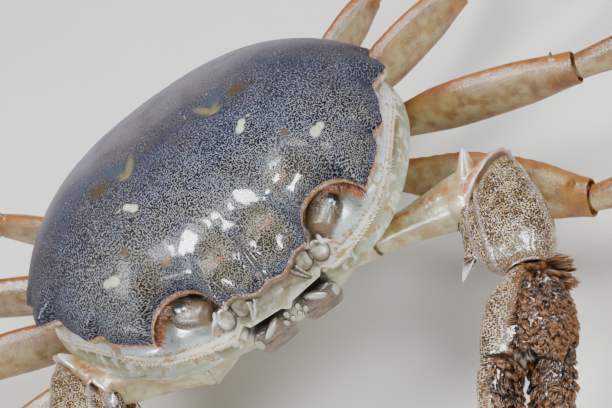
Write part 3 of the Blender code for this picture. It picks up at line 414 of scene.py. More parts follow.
def keep_value(data, name, value):
    """Keeps one number for each point of a mesh."""
    data.attributes.new(name, "FLOAT", "POINT").data.foreach_set("value", np.asarray(value, np.float32))


def make_object(name, shape, materials, faces_of=None):
    """An object from a shape, with its values as attributes."""
    data = bpy.data.meshes.new(name)
    data.from_pydata(place(shape["v"]).tolist(), [], shape["f"])
    for key, value in shape.items():
        if key not in ("v", "f"):
            keep_value(data, key, value)
    for material in materials:
        data.materials.append(material)
    if faces_of is not None:
        data.polygons.foreach_set("material_index", np.asarray(faces_of, np.int32))
    data.shade_smooth()
    data.update()
    return linked(name, data)


def finished(piece, node_slot, *nodes):
    """Rides a piece on the crab and puts it in place of its nodes; its slot is not used."""
    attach(piece, "root")
    if nodes:
        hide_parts(*nodes)
    return piece


def dress(node, node_slot, shape, *materials, faces_of=None):
    """Puts a skin in place of a node of the frame."""
    return finished(make_object(f"{node}_skin", shape, materials, faces_of), node_slot, node)


# Materials


class Paint:
    """A material under construction: short names for the nodes that it uses."""

    def __init__(self, name):
        self.material = bpy.data.materials.new(name)
        self.material.use_nodes = True
        self.tree = self.material.node_tree
        self.shader = self.tree.nodes["Principled BSDF"]
        self.where = self.node("ShaderNodeTexCoord").outputs["Object"]

    def node(self, kind, **settings):
        """A new node with its settings."""
        made = self.tree.nodes.new(kind)
        for key, value in settings.items():
            setattr(made, key, value)
        return made

    def put(self, value, socket):
        """Links a socket, or sets a plain value."""
        if isinstance(value, bpy.types.NodeSocket):
            self.tree.links.new(value, socket)
        elif isinstance(value, (tuple, list)) and len(value) == 3 and socket.type == "RGBA":
            socket.default_value = (*value, 1.0)
        else:
            socket.default_value = value

    def math(self, operation, first, second=0.0):
        """One sum on two values."""
        made = self.node("ShaderNodeMath", operation=operation)
        self.put(first, made.inputs[0])
        self.put(second, made.inputs[1])
        return made.outputs[0]

    def plus(self, first, second):
        return self.math("ADD", first, second)

    def minus(self, first, second):
        return self.math("SUBTRACT", first, second)

    def times(self, first, second):
        return self.math("MULTIPLY", first, second)

    def smooth(self, value, low, high, bottom=0.0, top=1.0):
        """A value mapped smoothly from low..high to bottom..top."""
        made = self.node("ShaderNodeMapRange", interpolation_type="SMOOTHSTEP")
        for number, socket in zip((value, low, high, bottom, top), made.inputs):
            self.put(number, socket)
        return made.outputs[0]

    def mix(self, factor, first, second):
        """The first colour at 0, the second at 1."""
        made = self.node("ShaderNodeMix", data_type="RGBA", blend_type="MIX")
        self.put(factor, made.inputs[0])
        self.put(first, made.inputs[6])
        self.put(second, made.inputs[7])
        return made.outputs[2]

    def noise(self, size, detail=3.0, roughness=0.5, warp=0.0):
        """Noise whose features are about size units wide."""
        made = self.node("ShaderNodeTexNoise")
        self.put(self.where, made.inputs["Vector"])
        self.put(1.0 / (size * UNIT), made.inputs["Scale"])
        self.put(detail, made.inputs["Detail"])
        self.put(roughness, made.inputs["Roughness"])
        self.put(warp, made.inputs["Distortion"])
        return made.outputs[0]

    def cloud(self, size, low, high, bottom=0.0, top=1.0, **kinds):
        """Noise mapped smoothly from low..high to bottom..top."""
        return self.smooth(self.noise(size, **kinds), low, high, bottom, top)

    def cells(self, size):
        """Distance inside scattered cells about size units apart."""
        made = self.node("ShaderNodeTexVoronoi", feature="F1")
        self.put(self.where, made.inputs["Vector"])
        self.put(1.0 / (size * UNIT), made.inputs["Scale"])
        return made.outputs[0]

    def dots(self):
        """Distance inside fairly even cells of the skin's unrolled plane."""
        flat = self.node("ShaderNodeCombineXYZ")
        self.put(self.value("dot_u"), flat.inputs[0])
        self.put(self.value("dot_v"), flat.inputs[1])
        made = self.node("ShaderNodeTexVoronoi", voronoi_dimensions="2D")
        self.put(flat.outputs[0], made.inputs["Vector"])
        self.put(1.0 / DOT_PITCH, made.inputs["Scale"])
        self.put(DOT_UNEVEN, made.inputs["Randomness"])
        wave = self.cloud(0.5, 0.3, 0.7, -0.05, 0.05, detail=1.0)
        return self.plus(made.outputs[0], wave)

    def band(self, value, middle, half, soft=0.5):
        """1 where a value is within half of middle."""
        away = self.math("ABSOLUTE", self.minus(value, middle))
        return self.smooth(away, half * (1 - soft), half * (1 + soft), 1.0, 0.0)

    def value(self, name):
        """The value that a shape keeps for each point under a name."""
        return self.node("ShaderNodeAttribute", attribute_name=name).outputs["Fac"]

    def ramp(self, factor, stops):
        """A run of colours, as (place, colour)."""
        made = self.node("ShaderNodeValToRGB")
        self.put(factor, made.inputs[0])
        band = made.color_ramp
        while len(band.elements) < len(stops):
            band.elements.new(0.5)
        for element, (position, colour) in zip(band.elements, stops):
            element.position = position
            element.color = (*colour, 1.0)
        return made.outputs[0]

    def mirrored(self):
        """Body coordinates in units, with both sides read as the left one, and the plain ones apart."""
        shift = self.node("ShaderNodeVectorMath", operation="SUBTRACT")
        self.put(self.where, shift.inputs[0])
        self.put(tuple(ORIGIN), shift.inputs[1])
        scale = self.node("ShaderNodeVectorMath", operation="SCALE")
        self.put(shift.outputs[0], scale.inputs[0])
        self.put(1.0 / UNIT, scale.inputs["Scale"])
        parts = self.node("ShaderNodeSeparateXYZ")
        self.put(scale.outputs[0], parts.inputs[0])
        both = self.node("ShaderNodeCombineXYZ")
        self.put(self.math("ABSOLUTE", parts.outputs[0]), both.inputs[0])
        self.put(parts.outputs[1], both.inputs[1])
        self.put(parts.outputs[2], both.inputs[2])
        return both.outputs[0], parts

    def spot(self, body, centre, radii, turn=0.0, edge=0.25):
        """1 inside an ellipse seen from above, in body units, with a soft edge."""
        made = self.node("ShaderNodeMapping", vector_type="TEXTURE")
        self.put(body, made.inputs["Vector"])
        self.put((centre[0], centre[1], 0.0), made.inputs["Location"])
        self.put((0.0, 0.0, math.radians(turn)), made.inputs["Rotation"])
        self.put((radii[0], radii[1], 1000.0), made.inputs["Scale"])
        far = self.node("ShaderNodeVectorMath", operation="LENGTH")
        self.put(made.outputs[0], far.inputs[0])
        return self.smooth(far.outputs["Value"], 1.0 - edge, 1.0 + edge, 1.0, 0.0)

    def bump(self, height, strength, distance):
        """A bump of the given depth in units."""
        made = self.node("ShaderNodeBump")
        self.put(strength, made.inputs["Strength"])
        self.put(distance * UNIT, made.inputs["Distance"])
        self.put(height, made.inputs["Height"])
        return made.outputs[0]

    def done(self, colour, roughness=0.3, normal=None, coat=0.0, coat_roughness=0.08, specular=0.5,
             film=None):
        """Sets the shader's sockets and returns the material."""
        self.put(colour, self.shader.inputs["Base Color"])
        self.put(roughness, self.shader.inputs["Roughness"])
        self.put(coat, self.shader.inputs["Coat Weight"])
        self.shader.inputs["Coat Roughness"].default_value = coat_roughness
        self.shader.inputs["Specular IOR Level"].default_value = specular
        if normal is not None:
            self.put(normal, self.shader.inputs["Normal"])
            if coat:
                self.put(film or normal, self.shader.inputs["Coat Normal"])
        return self.material


# The way between the skin's dots, and how the light specks between them begin and end.
DOT_PITCH = 0.235
DOT_UNEVEN = 0.7
SPECK_FROM = 0.38
SPECK_TO = 0.5

# Spots of the shell's top that show on both sides: (x, y), half lengths, turn, softness and colour.
SCARS = (
    ((7.35, -4.75), (0.62, 0.44), 55.0, 0.28, rgb(214, 222, 198)),
    ((7.9, -4.05), (0.5, 0.4), 55.0, 0.28, rgb(214, 222, 198)),
    ((13.8, -8.9), (0.7, 0.42), 35.0, 0.28, rgb(206, 214, 190)),
    ((14.6, -8.45), (0.5, 0.32), 35.0, 0.28, rgb(206, 214, 190)),
    ((8.9, -3.6), (0.25, 0.2), 0.0, 0.28, rgb(150, 156, 128)),
    ((5.4, 1.5), (0.5, 1.5), 35.0, 0.6, rgb(112, 106, 74)),
    ((6.7, 1.7), (0.5, 1.5), -28.0, 0.6, rgb(108, 104, 76)),
    ((6.1, 0.4), (0.9, 0.35), 0.0, 0.6, rgb(122, 116, 84)),
    ((7.2, 2.8), (1.3, 0.8), 20.0, 0.6, rgb(60, 68, 84)),
    ((9.6, 1.2), (1.1, 0.8), 0.0, 0.6, rgb(72, 62, 44)),
    ((7.7, -11.4), (0.6, 0.28), 20.0, 0.6, rgb(138, 100, 72)),
    ((10.9, -7.9), (0.5, 0.36), 20.0, 0.6, rgb(92, 74, 48)),
    ((3.2, -15.2), (1.0, 0.11), 15.0, 0.5, rgb(170, 104, 74)),
)


def shell_paint():
    """The wet top of the shell: light specks between dark dots in front, smoother and grey behind."""
    paint = Paint("shell_top")
    body, parts = paint.mirrored()
    back = parts.outputs[1]
    warp = paint.noise(0.5, detail=2.0)
    tone = paint.noise(2.4)
    wide = paint.noise(8.0, detail=2.0)
    border = paint.value("border")
    grow = paint.plus(paint.smooth(tone, 0.3, 0.7, 0.04, -0.04), paint.smooth(back, -15.0, 4.0, -0.02, 0.04))
    light = paint.smooth(paint.minus(paint.dots(), grow), SPECK_FROM, SPECK_TO)
    clear = paint.smooth(back, -8.0, 9.0, 1.0, 0.26)
    speck = paint.mix(paint.smooth(wide, 0.36, 0.62), rgb(130, 136, 146), rgb(150, 144, 126))
    speck = paint.mix(paint.smooth(tone, 0.46, 0.7), speck, rgb(122, 128, 142))
    speck = paint.mix(paint.smooth(back, -14.0, 4.0), speck, rgb(96, 104, 128))
    deep = paint.mix(paint.smooth(tone, 0.4, 0.62), rgb(13, 15, 32), rgb(18, 16, 26))
    far = paint.mix(paint.smooth(wide, 0.38, 0.6), rgb(66, 64, 72), rgb(80, 70, 62))
    far = paint.mix(paint.smooth(back, 1.0, 14.0), far, rgb(128, 122, 130))
    ochre = paint.math("MAXIMUM", paint.spot(body, (3.0, -15.2), (2.4, 2.0), 0.0, 0.4),
                       paint.times(paint.spot(body, (10.8, -10.4), (3.2, 1.6), 10.0, 0.5), 0.35))
    speck = paint.mix(paint.times(ochre, 0.6), speck, rgb(150, 132, 84))
    deep = paint.mix(paint.times(ochre, 0.6), deep, rgb(30, 24, 12))
    speck = paint.mix(border, speck, rgb(104, 104, 124))
    deep = paint.mix(border, deep, rgb(12, 12, 28))
    skin = paint.mix(light, deep, speck)
    skin = paint.mix(paint.minus(1.0, clear), skin, far)
    veil = paint.cloud(3.0, 0.46, 0.7, 0.0, 0.3, detail=4.0)
    veil = paint.times(veil, paint.smooth(back, -14.0, 2.0, 0.3, 1.0))
    skin = paint.mix(veil, skin, rgb(50, 50, 60))
    seam = paint.times(paint.value("groove"), paint.smooth(warp, 0.3, 0.55, 0.35, 1.0))
    skin = paint.mix(paint.times(seam, 0.5), skin, rgb(74, 64, 44))
    crumbs = paint.smooth(paint.cells(0.9), 0.07, 0.13, 0.9, 0.0)
    crumbs = paint.times(crumbs, paint.cloud(3.4, 0.45, 0.6, detail=1.0))
    skin = paint.mix(crumbs, skin, rgb(150, 156, 178))
    for centre, radii, turn, soft, colour in SCARS:
        patch = paint.spot(body, centre, radii, turn, soft)
        patch = paint.times(patch, paint.smooth(warp, 0.25, 0.42, 0.35, 0.9))
        skin = paint.mix(patch, skin, colour)
    edge = paint.value("edge")
    stain = paint.cloud(0.6, 0.46, 0.62)
    rim = paint.mix(stain, rgb(222, 198, 168), rgb(180, 130, 84))
    beads = paint.smooth(paint.cells(0.24), 0.3, 0.5, 0.0, 0.75)
    rim = paint.mix(beads, rim, rgb(130, 76, 40))
    skin = paint.mix(paint.smooth(edge, 0.5, 0.85, 1.0, 0.0), skin, rim)
    swells = paint.times(paint.noise(1.1, detail=1.0), 1.6)
    normal = paint.bump(paint.plus(light, swells), 0.5, 0.05)
    film = paint.bump(paint.plus(paint.times(light, 0.15), swells), 0.4, 0.05)
    rough = paint.smooth(tone, 0.3, 0.7, 0.42, 0.55)
    right_end = paint.smooth(parts.outputs[0], -7.0, -6.0)
    wet = paint.times(right_end, paint.smooth(parts.outputs[0], 9.0, 10.4, 1.0, 0.0))
    wet = paint.times(wet, paint.smooth(back, -10.8, -9.6, 0.75, 0.0))
    dry = paint.spot(body, (3.3, -14.75), (2.9, 1.75), 0.0, 0.25)
    wet = paint.times(wet, paint.minus(1.0, dry))
    rough = paint.plus(rough, paint.smooth(back, -6.0, 8.0, 0.0, 0.12))
    return paint.done(skin, rough, normal, coat=paint.plus(wet, 0.05), coat_roughness=0.07, specular=0.05,
                      film=film)


def side_paint():
    """Below the rim: sockets darkened with painted shade, pale floor, beaded lines, cream crest with painted
    shade under it, and green wall.
    """
    paint = Paint("shell_side")
    level = paint.value("level")
    _, parts = paint.mirrored()
    body_x = paint.math("ABSOLUTE", parts.outputs[0])
    skin = paint.ramp(level, (
        # The brown to dark stops from 0.07 to 0.27 are painted shade in the eye sockets under the brow, over
        # the sockets' own orange-brown.
        (0.0, rgb(206, 180, 156)), (0.07, rgb(140, 88, 48)), (0.2, rgb(82, 58, 32)),
        (0.27, rgb(126, 110, 80)),
        (0.34, rgb(186, 206, 212)), (0.46, rgb(222, 234, 228)), (0.545, rgb(230, 228, 204)),
        # The dark stop at 0.595 is painted shade in the hollow under the crest; the olive wall stop at 0.66
        # is the wall's own green, partly darkened as painted shade.
        (0.572, rgb(240, 226, 190)), (0.595, rgb(112, 88, 46)), (0.66, rgb(146, 156, 124)),
        (0.84, rgb(170, 190, 166)), (1.0, rgb(112, 100, 70)),
    ))
    cloud = paint.cloud(1.3, 0.5, 0.66, 0.0, 0.75)
    skin = paint.mix(cloud, skin, rgb(230, 234, 228))
    blots = paint.cloud(1.5, 0.54, 0.62, 0.0, 0.9, detail=5.0, roughness=0.65)
    skin = paint.mix(blots, skin, rgb(162, 124, 34))
    streak = paint.cloud(0.6, 0.6, 0.7, 0.0, 0.5, detail=4.0, warp=1.0)
    skin = paint.mix(streak, skin, rgb(150, 110, 36))
    beads = paint.smooth(paint.cells(0.4), 0.2, 0.6, 1.0, 0.3)
    for middle, half, colour in ((0.455, 0.016, rgb(178, 126, 40)), (0.485, 0.012, rgb(236, 236, 232)),
                                 (0.535, 0.014, rgb(180, 128, 56)), (0.72, 0.016, rgb(180, 140, 70))):
        line = paint.times(paint.band(level, middle, half), beads)
        skin = paint.mix(paint.times(line, paint.smooth(body_x, 5.0, 6.4)), skin, colour)
    middle = paint.smooth(body_x, 5.0, 5.6, 1.0, 0.0)
    plate = paint.mix(paint.cloud(1.2, 0.42, 0.6), rgb(226, 222, 202), rgb(186, 172, 134))
    # The brown at levels 0.25 to 0.4 is painted shadow under the front rim.
    plate = paint.mix(paint.smooth(level, 0.25, 0.4, 1.0, 0.0), plate, rgb(92, 66, 38))
    plate = paint.mix(paint.smooth(level, 0.535, 0.555), plate, rgb(228, 228, 214))
    # The dark brown below the crest is painted shade in the mouth's hollow.
    plate = paint.mix(paint.smooth(level, 0.568, 0.585), plate, rgb(50, 34, 22))
    skin = paint.mix(middle, skin, plate)
    back = paint.smooth(parts.outputs[1], 4.0, 18.0)
    skin = paint.mix(paint.times(back, 0.6), skin, rgb(112, 104, 96))
    normal = paint.bump(paint.noise(0.5, detail=4.0), 0.4, 0.12)
    return paint.done(skin, 0.3, normal, coat=0.5, coat_roughness=0.12)


def eye_paint():
    """Speckled grey eye with a small black cornea."""
    paint = Paint("eye_skin")
    along = paint.value("along")
    speck = paint.smooth(paint.cells(0.2), 0.28, 0.5)
    ground = paint.mix(paint.cloud(0.9, 0.4, 0.6), rgb(158, 150, 146), rgb(136, 116, 88))
    skin = paint.mix(speck, ground, rgb(70, 54, 40))
    rings = paint.smooth(paint.math("SINE", paint.times(along, 70.0)), 0.2, 0.9, 0.0, 0.35)
    skin = paint.mix(rings, skin, rgb(70, 54, 40))
    base = paint.smooth(along, 0.1, 0.4, 0.8, 0.0)
    skin = paint.mix(base, skin, rgb(126, 104, 78))
    tip = paint.value("cornea")
    skin = paint.mix(paint.smooth(tip, 0.04, 0.2, 0.0, 0.75), skin, rgb(84, 80, 82))
    skin = paint.mix(paint.smooth(tip, 0.2, 0.32), skin, rgb(5, 5, 7))
    normal = paint.bump(paint.plus(speck, paint.noise(0.8, detail=2.0)), 0.3, 0.03)
    shine = paint.smooth(tip, 0.15, 0.4, 0.1, 0.8)
    return paint.done(skin, 0.36, normal, coat=shine, coat_roughness=0.05, specular=0.3)


def claw_paint():
    """Ochre shell of the claws: dense dark dots above, painted glints between them, bare orange edges, brown
    mat under the coat.
    """
    paint = Paint("claw_skin")
    tone = paint.noise(1.6)
    grow = paint.smooth(tone, 0.3, 0.7, 0.05, -0.05)
    light = paint.smooth(paint.minus(paint.dots(), grow), SPECK_FROM, SPECK_TO)
    ground = paint.mix(paint.smooth(tone, 0.4, 0.6), rgb(158, 116, 40), rgb(194, 166, 114))
    # Whitish flecks on the ochre ground are painted glints of light on the bumps.
    painted_glint = paint.cloud(0.3, 0.5, 0.62, 0.0, 0.85, detail=1.0)
    ground = paint.mix(painted_glint, ground, rgb(222, 212, 216))
    dotted = paint.mix(light, rgb(20, 12, 12), ground)
    bare = paint.mix(paint.cloud(1.2, 0.4, 0.66, detail=4.0), rgb(196, 176, 136), rgb(170, 96, 40))
    skin = paint.mix(paint.value("bare"), dotted, bare)
    worn = paint.cloud(0.5, 0.35, 0.6, 0.4, 1.0)
    skin = paint.mix(paint.times(paint.value("orange"), worn), skin, rgb(124, 66, 6))
    skin = paint.mix(paint.value("white"), skin, rgb(214, 208, 224))
    mud = paint.mix(paint.cloud(0.5, 0.42, 0.62, detail=4.0), rgb(50, 28, 12), rgb(104, 58, 26))
    skin = paint.mix(paint.value("mat"), skin, mud)
    normal = paint.bump(light, 0.6, 0.06)
    film = paint.bump(paint.noise(0.9, detail=2.0), 0.5, 0.16)
    return paint.done(skin, 0.4, normal, coat=0.45, coat_roughness=0.08, specular=0.25, film=film)


def arm_paint():
    """The claws' arms: translucent green cream, with orange rims."""
    paint = Paint("arm_skin")
    tone = paint.noise(2.4, detail=4.0, roughness=0.6)
    skin = paint.mix(paint.smooth(tone, 0.38, 0.62), rgb(188, 186, 146), rgb(156, 132, 76))
    skin = paint.mix(paint.cloud(0.9, 0.55, 0.72, 0.0, 0.6), skin, rgb(182, 132, 44))
    worn = paint.cloud(0.7, 0.35, 0.6, 0.35, 1.0)
    skin = paint.mix(paint.times(paint.value("orange"), worn), skin, rgb(166, 82, 18))
    skin = paint.mix(paint.value("white"), skin, rgb(214, 210, 222))
    normal = paint.bump(paint.noise(0.35), 0.45, 0.08)
    return paint.done(skin, 0.34, normal, coat=0.5, coat_roughness=0.12)


def leg_paint():
    """The walking legs: brown and ochre shell with orange, grainy edges and pale faces."""
    paint = Paint("leg_skin")
    tone = paint.noise(2.8, detail=4.0, roughness=0.6)
    skin = paint.mix(paint.smooth(tone, 0.36, 0.64), rgb(118, 62, 4), rgb(158, 112, 34))
    pits = paint.smooth(paint.dots(), SPECK_FROM, SPECK_TO, 1.0, 0.0)
    patches = paint.cloud(1.8, 0.45, 0.62, 0.0, 0.5, detail=2.0)
    shown = paint.math("MAXIMUM", paint.value("dotted"), patches)
    skin = paint.mix(paint.times(pits, shown), skin, rgb(52, 30, 14))
    pale = paint.times(paint.value("pale"), paint.cloud(1.6, 0.34, 0.6, 0.25, 1.0, detail=4.0))
    skin = paint.mix(pale, skin, rgb(188, 172, 124))
    streak = paint.cloud(1.1, 0.56, 0.7, 0.0, 0.7, detail=4.0, roughness=0.7)
    skin = paint.mix(streak, skin, rgb(164, 96, 16))
    worn = paint.cloud(0.7, 0.35, 0.6, 0.3, 0.9)
    skin = paint.mix(paint.times(paint.value("orange"), worn), skin, rgb(146, 76, 6))
    grain = paint.plus(paint.noise(0.3), paint.times(pits, -0.4))
    normal = paint.bump(grain, 0.7, 0.1)
    return paint.done(skin, 0.42, normal, coat=0.25, coat_roughness=0.18, specular=0.35)


def toe_paint():
    """The toes: brown, darker to a horn tip."""
    paint = Paint("toe_skin")
    along = paint.value("along")
    tone = paint.noise(1.4, detail=4.0)
    skin = paint.mix(paint.smooth(tone, 0.35, 0.65), rgb(150, 104, 60), rgb(120, 78, 44))
    skin = paint.mix(paint.smooth(along, 0.55, 0.95), skin, rgb(64, 38, 22))
    normal = paint.bump(paint.noise(0.25), 0.4, 0.06)
    return paint.done(skin, 0.4, normal, coat=0.3, coat_roughness=0.2)


def breast_paint():
    """The pale underside with grey-brown seams."""
    paint = Paint("breast_skin")
    tone = paint.noise(3.0, detail=4.0, roughness=0.6)
    skin = paint.mix(paint.smooth(tone, 0.4, 0.62), rgb(206, 198, 170), rgb(170, 158, 124))
    stain = paint.cloud(1.0, 0.56, 0.72, 0.0, 0.5, detail=5.0, roughness=0.7)
    skin = paint.mix(stain, skin, rgb(150, 100, 54))
    skin = paint.mix(paint.value("seam"), skin, rgb(96, 72, 48))
    normal = paint.bump(paint.noise(0.5), 0.3, 0.08)
    return paint.done(skin, 0.38, normal, coat=0.3, coat_roughness=0.2)


def plate_paint():
    """The plates of the face: pale green in the middle, dark brown at their outlines."""
    paint = Paint("face_skin")
    edge = paint.value("edge")
    tone = paint.noise(0.7, detail=4.0)
    skin = paint.mix(paint.smooth(tone, 0.38, 0.62), rgb(164, 160, 134), rgb(120, 104, 70))
    skin = paint.mix(paint.smooth(edge, 0.05, 0.6), skin, rgb(66, 42, 20))
    skin = paint.mix(paint.value("white"), skin, rgb(212, 210, 214))
    skin = paint.mix(paint.value("orange"), skin, rgb(190, 112, 56))
    normal = paint.bump(paint.noise(0.3), 0.3, 0.06)
    return paint.done(skin, 0.4, normal, coat=0.25, coat_roughness=0.15)


def mouth_paint():
    """The mouth's cover plates: clear dark brown with pale clouds, streaks and edges."""
    paint = Paint("mouth_skin")
    tone = paint.noise(1.1, detail=4.0, roughness=0.6)
    skin = paint.ramp(tone, ((0.3, rgb(40, 24, 14)), (0.48, rgb(84, 54, 32)), (0.6, rgb(120, 92, 64)),
                             (0.75, rgb(104, 60, 26))))
    streak = paint.cloud(0.5, 0.58, 0.7, 0.0, 0.4, warp=1.5)
    skin = paint.mix(streak, skin, rgb(170, 164, 152))
    skin = paint.mix(paint.value("white"), skin, rgb(196, 200, 186))
    skin = paint.mix(paint.smooth(paint.value("edge"), 0.5, 0.9, 0.0, 0.7), skin, rgb(92, 66, 46))
    normal = paint.bump(paint.noise(0.4), 0.35, 0.08)
    return paint.done(skin, 0.34, normal, coat=0.3, coat_roughness=0.12)


def hair_paint(name, root, tip, dark):
    """Wet hair, from a root colour to a tip colour, with darker tufts among it."""
    paint = Paint(name)
    skin = paint.mix(paint.smooth(paint.value("along"), 0.1, 0.9), root, tip)
    skin = paint.mix(paint.smooth(paint.value("tone"), 0.5, 0.8), skin, dark)
    grain = paint.noise(0.4, detail=2.0)
    skin = paint.mix(paint.smooth(grain, 0.5, 0.7, 0.0, 0.6), skin, tip)
    return paint.done(skin, 0.48, coat=0.2, coat_roughness=0.2, specular=0.25)


# Limbs


def rounded(value, square):
    """A cosine or sine drawn out towards a square, for the section of a limb."""
    return np.sign(value) * np.abs(value) ** (2 / square)


def joint_face(before, joint, after):
    """The way the joint plane between two limb pieces looks, half way between their headings."""
    return unit(unit(np.subtract(joint, before)) + unit(np.subtract(after, joint)))


def axes_of(start, end, up):
    """Headings of a limb piece: along it, across it and up."""
    along = unit(np.subtract(end, start))
    across = unit(np.cross(along, up))
    return along, across, unit(np.cross(across, along))


# The rounded inner end of a limb piece, as (share of the ring, way along).
NOSE_STEPS = ((0.35, -0.72), (0.62, -0.62), (0.78, -0.42), (0.86, -0.16), (0.93, -0.05), (0.98, 0.0))


def limb(start, end, up, profile, start_face=None, end_face=None, bow=0.0, square=2.3, ridge=0.0,
         sides=LIMB_SIDES, count=LIMB_RINGS, nose=True, cup=True, beads=0.0):
    """Rings of a limb piece, with the place along it and the turn round it of every point."""
    along, across, upward = axes_of(start, end, up)
    start_face = along if start_face is None else start_face
    end_face = along if end_face is None else end_face
    length = np.linalg.norm(np.subtract(end, start))
    first = GAP / 2 / along.dot(start_face)
    last = length - GAP / 2 / along.dot(end_face)
    where = np.linspace(0.0, 1.0, count + 1)
    where = where - 0.03 * np.sin(4 * math.pi * where)
    thick, high = profile_curve(profile, where)
    turn = around(sides)
    centre = np.asarray(start) + along * (first + (last - first) * where)[:, None]
    centre = centre + upward * (bow * np.sin(math.pi * where))[:, None]
    bead = 1.0 + KEEL_BEAD * np.sin(2 * math.pi * where * length / KEEL_PITCH)
    keel = ridge * np.exp(-(((np.abs(np.sin(turn)) - 1.0) / KEEL_WIDTH) ** 2)) * np.sign(np.sin(turn))
    keel = keel[None] * (bead * np.sin(math.pi * np.clip(where, 0.04, 0.96)))[:, None]
    out = across * (thick[:, None] * rounded(np.cos(turn), square))[..., None]
    out = out + upward * (high[:, None] * rounded(np.sin(turn), square) + keel)[..., None]
    grain = smooth_step(0.93, 0.985, where)[:, None] * (0.5 + 0.5 * np.cos(turn * (sides // 3)))
    out = out * (1 + beads * grain)[..., None]
    slide = -np.maximum(0.0, 1 - where / LEAN_REACH)[:, None] * (out @ start_face) / along.dot(start_face)
    slide -= np.maximum(0.0, 1 - (1 - where) / LEAN_REACH)[:, None] * (out @ end_face) / along.dot(end_face)
    rings = centre[:, None] + out + along * slide[..., None]
    places = np.repeat(where[:, None], sides, 1)
    if nose:
        middle = rings[0].mean(0)
        extra = [middle + (rings[0] - middle) * scale + along * shift for scale, shift in NOSE_STEPS]
        rings = np.concatenate([extra, rings])
        places = np.concatenate([np.full((len(extra), sides), -0.01), places])
    if cup:
        middle = rings[-1].mean(0)
        extra = [middle + (rings[-1] - middle) * scale + along * shift for scale, shift in CUP[1:]]
        rings = np.concatenate([rings, extra])
        places = np.concatenate([places, np.full((len(extra), sides), 1.01)])
    return rings, places, np.repeat(turn[None], len(rings), 0)


def near_turn(turn, degrees, spread):
    """1 at a turn round a limb, fading over a spread in degrees."""
    away = (np.degrees(turn) - degrees + 180.0) % 360.0 - 180.0
    return np.exp(-((away / spread) ** 2))


def scaled(profile, thick=1.0, high=1.0):
    """A profile with its thickness and height scaled."""
    return tuple((place, t * thick, h * high) for place, t, h in profile)


def spike(base, tip, wide, thick=None, flat=(0, 0, 1), count=16, sides=20, curl=0.0, blunt=0.75):
    """A pointed spine with a broad root, flattened where its thickness is less than its width."""
    base, tip = np.asarray(base, float), np.asarray(tip, float)
    along = unit(tip - base)
    side = unit(np.cross(along, flat))
    up = np.cross(side, along)
    thick = wide if thick is None else thick
    where = np.linspace(0.0, 1.0, count)
    taper = (1 - where) ** blunt * (1 - 0.25 * np.sin(math.pi * where)) + 0.04
    turn = around(sides)
    centre = base + (tip - base) * where[:, None] + up * (curl * np.sin(math.pi * where))[:, None]
    out = side * (wide * np.cos(turn))[:, None] + up * (thick * np.sin(turn))[:, None]
    return centre[:, None] + out[None] * taper[:, None, None], np.repeat(where[:, None], sides, 1)


def lens(centre, facing, up, wide, high, thick, count=24, sides=40):
    """A rounded oval plate that faces a way, with an edge value at its outline."""
    facing = unit(facing)
    side = unit(np.cross(up, facing))
    rise = np.cross(facing, side)
    lift = np.linspace(-0.5 * math.pi, 0.5 * math.pi, count + 2)[1:-1]
    turn = around(sides)
    out = side * (wide * np.cos(turn))[:, None] + rise * (high * np.sin(turn))[:, None]
    rings = np.asarray(centre) + out[None] * (np.cos(lift) ** 0.7)[:, None, None]
    rings = rings + facing * (thick * np.sin(lift))[:, None, None]
    edge = smooth_step(0.9, 0.35, np.sin(lift))
    return ring_shape(rings, edge=np.repeat(edge[:, None], sides, 1))


def unrolled(shape, start, end, up):
    """Gives a limb's skin each point's place on its unrolled plane, for even dots."""
    along, across, upward = axes_of(start, end, up)
    away = shape["v"] - np.asarray(start)
    side, rise = away @ across, away @ upward
    shape["dot_u"] = np.arctan2(side, rise) * np.hypot(side, rise).mean()
    shape["dot_v"] = away @ along
    return shape


def fused(shapes, voxel=FUSE_VOXEL, smooth=3):
    """Closed shapes that overlap as one skin; its values come from the nearest old points."""
    whole = joined(shapes)
    data = bpy.data.meshes.new("fuse")
    data.from_pydata(whole["v"].tolist(), [], whole["f"])
    holder = linked("fuse", data)
    modifier = holder.modifiers.new("fuse", "REMESH")
    modifier.mode = "VOXEL"
    modifier.voxel_size = voxel
    bpy.context.view_layer.update()
    seen = holder.evaluated_get(bpy.context.evaluated_depsgraph_get()).to_mesh()
    mesh = bmesh.new()
    mesh.from_mesh(seen)
    for _ in range(smooth):
        bmesh.ops.smooth_vert(mesh, verts=mesh.verts, factor=0.5, use_axis_x=True, use_axis_y=True,
                              use_axis_z=True)
    points = np.array([tuple(v.co) for v in mesh.verts])
    faces = [[v.index for v in face.verts] for face in mesh.faces]
    mesh.free()
    bpy.data.objects.remove(holder, do_unlink=True)
    made = {"v": points, "f": faces}
    names = [name for name in whole if name not in ("v", "f")]
    if names:
        tree = kdtree.KDTree(len(whole["v"]))
        for index, point in enumerate(whole["v"]):
            tree.insert(point, index)
        tree.balance()
        nearest = np.array([tree.find(point)[1] for point in points])
        for name in names:
            made[name] = np.asarray(whole[name])[nearest]
    return made


# The body


def outline_turns(table, least):
    """Turns of an outline's points about the body's middle, each some degrees past the last."""
    turns = np.arctan2(table[:, 0], BODY_CENTRE_Y - table[:, 1])
    for index in range(1, len(turns)):
        turns[index] = max(turns[index], turns[index - 1] + math.radians(least))
    turns[-1] = math.pi
    return turns


def outline_radii(table):
    """Distances of an outline's points from the body's middle."""
    return np.hypot(table[:, 0], BODY_CENTRE_Y - table[:, 1])


def outline_at(outline, angles):
    """Radius and height of a half outline at angles from 0 to half a turn."""
    table = np.array(outline, float)
    turns = outline_turns(table, 0.3)
    return monotone(angles, turns, outline_radii(table)), monotone(angles, turns, table[:, 2])


def rim_at(angles):
    """Points of the rim; its teeth may overhang, so they are read along the rim and not by radius."""
    table = np.array(RIM, float)
    turns = outline_turns(table, 0.45)
    return np.stack([monotone(angles, turns, table[:, k]) for k in range(3)], -1)


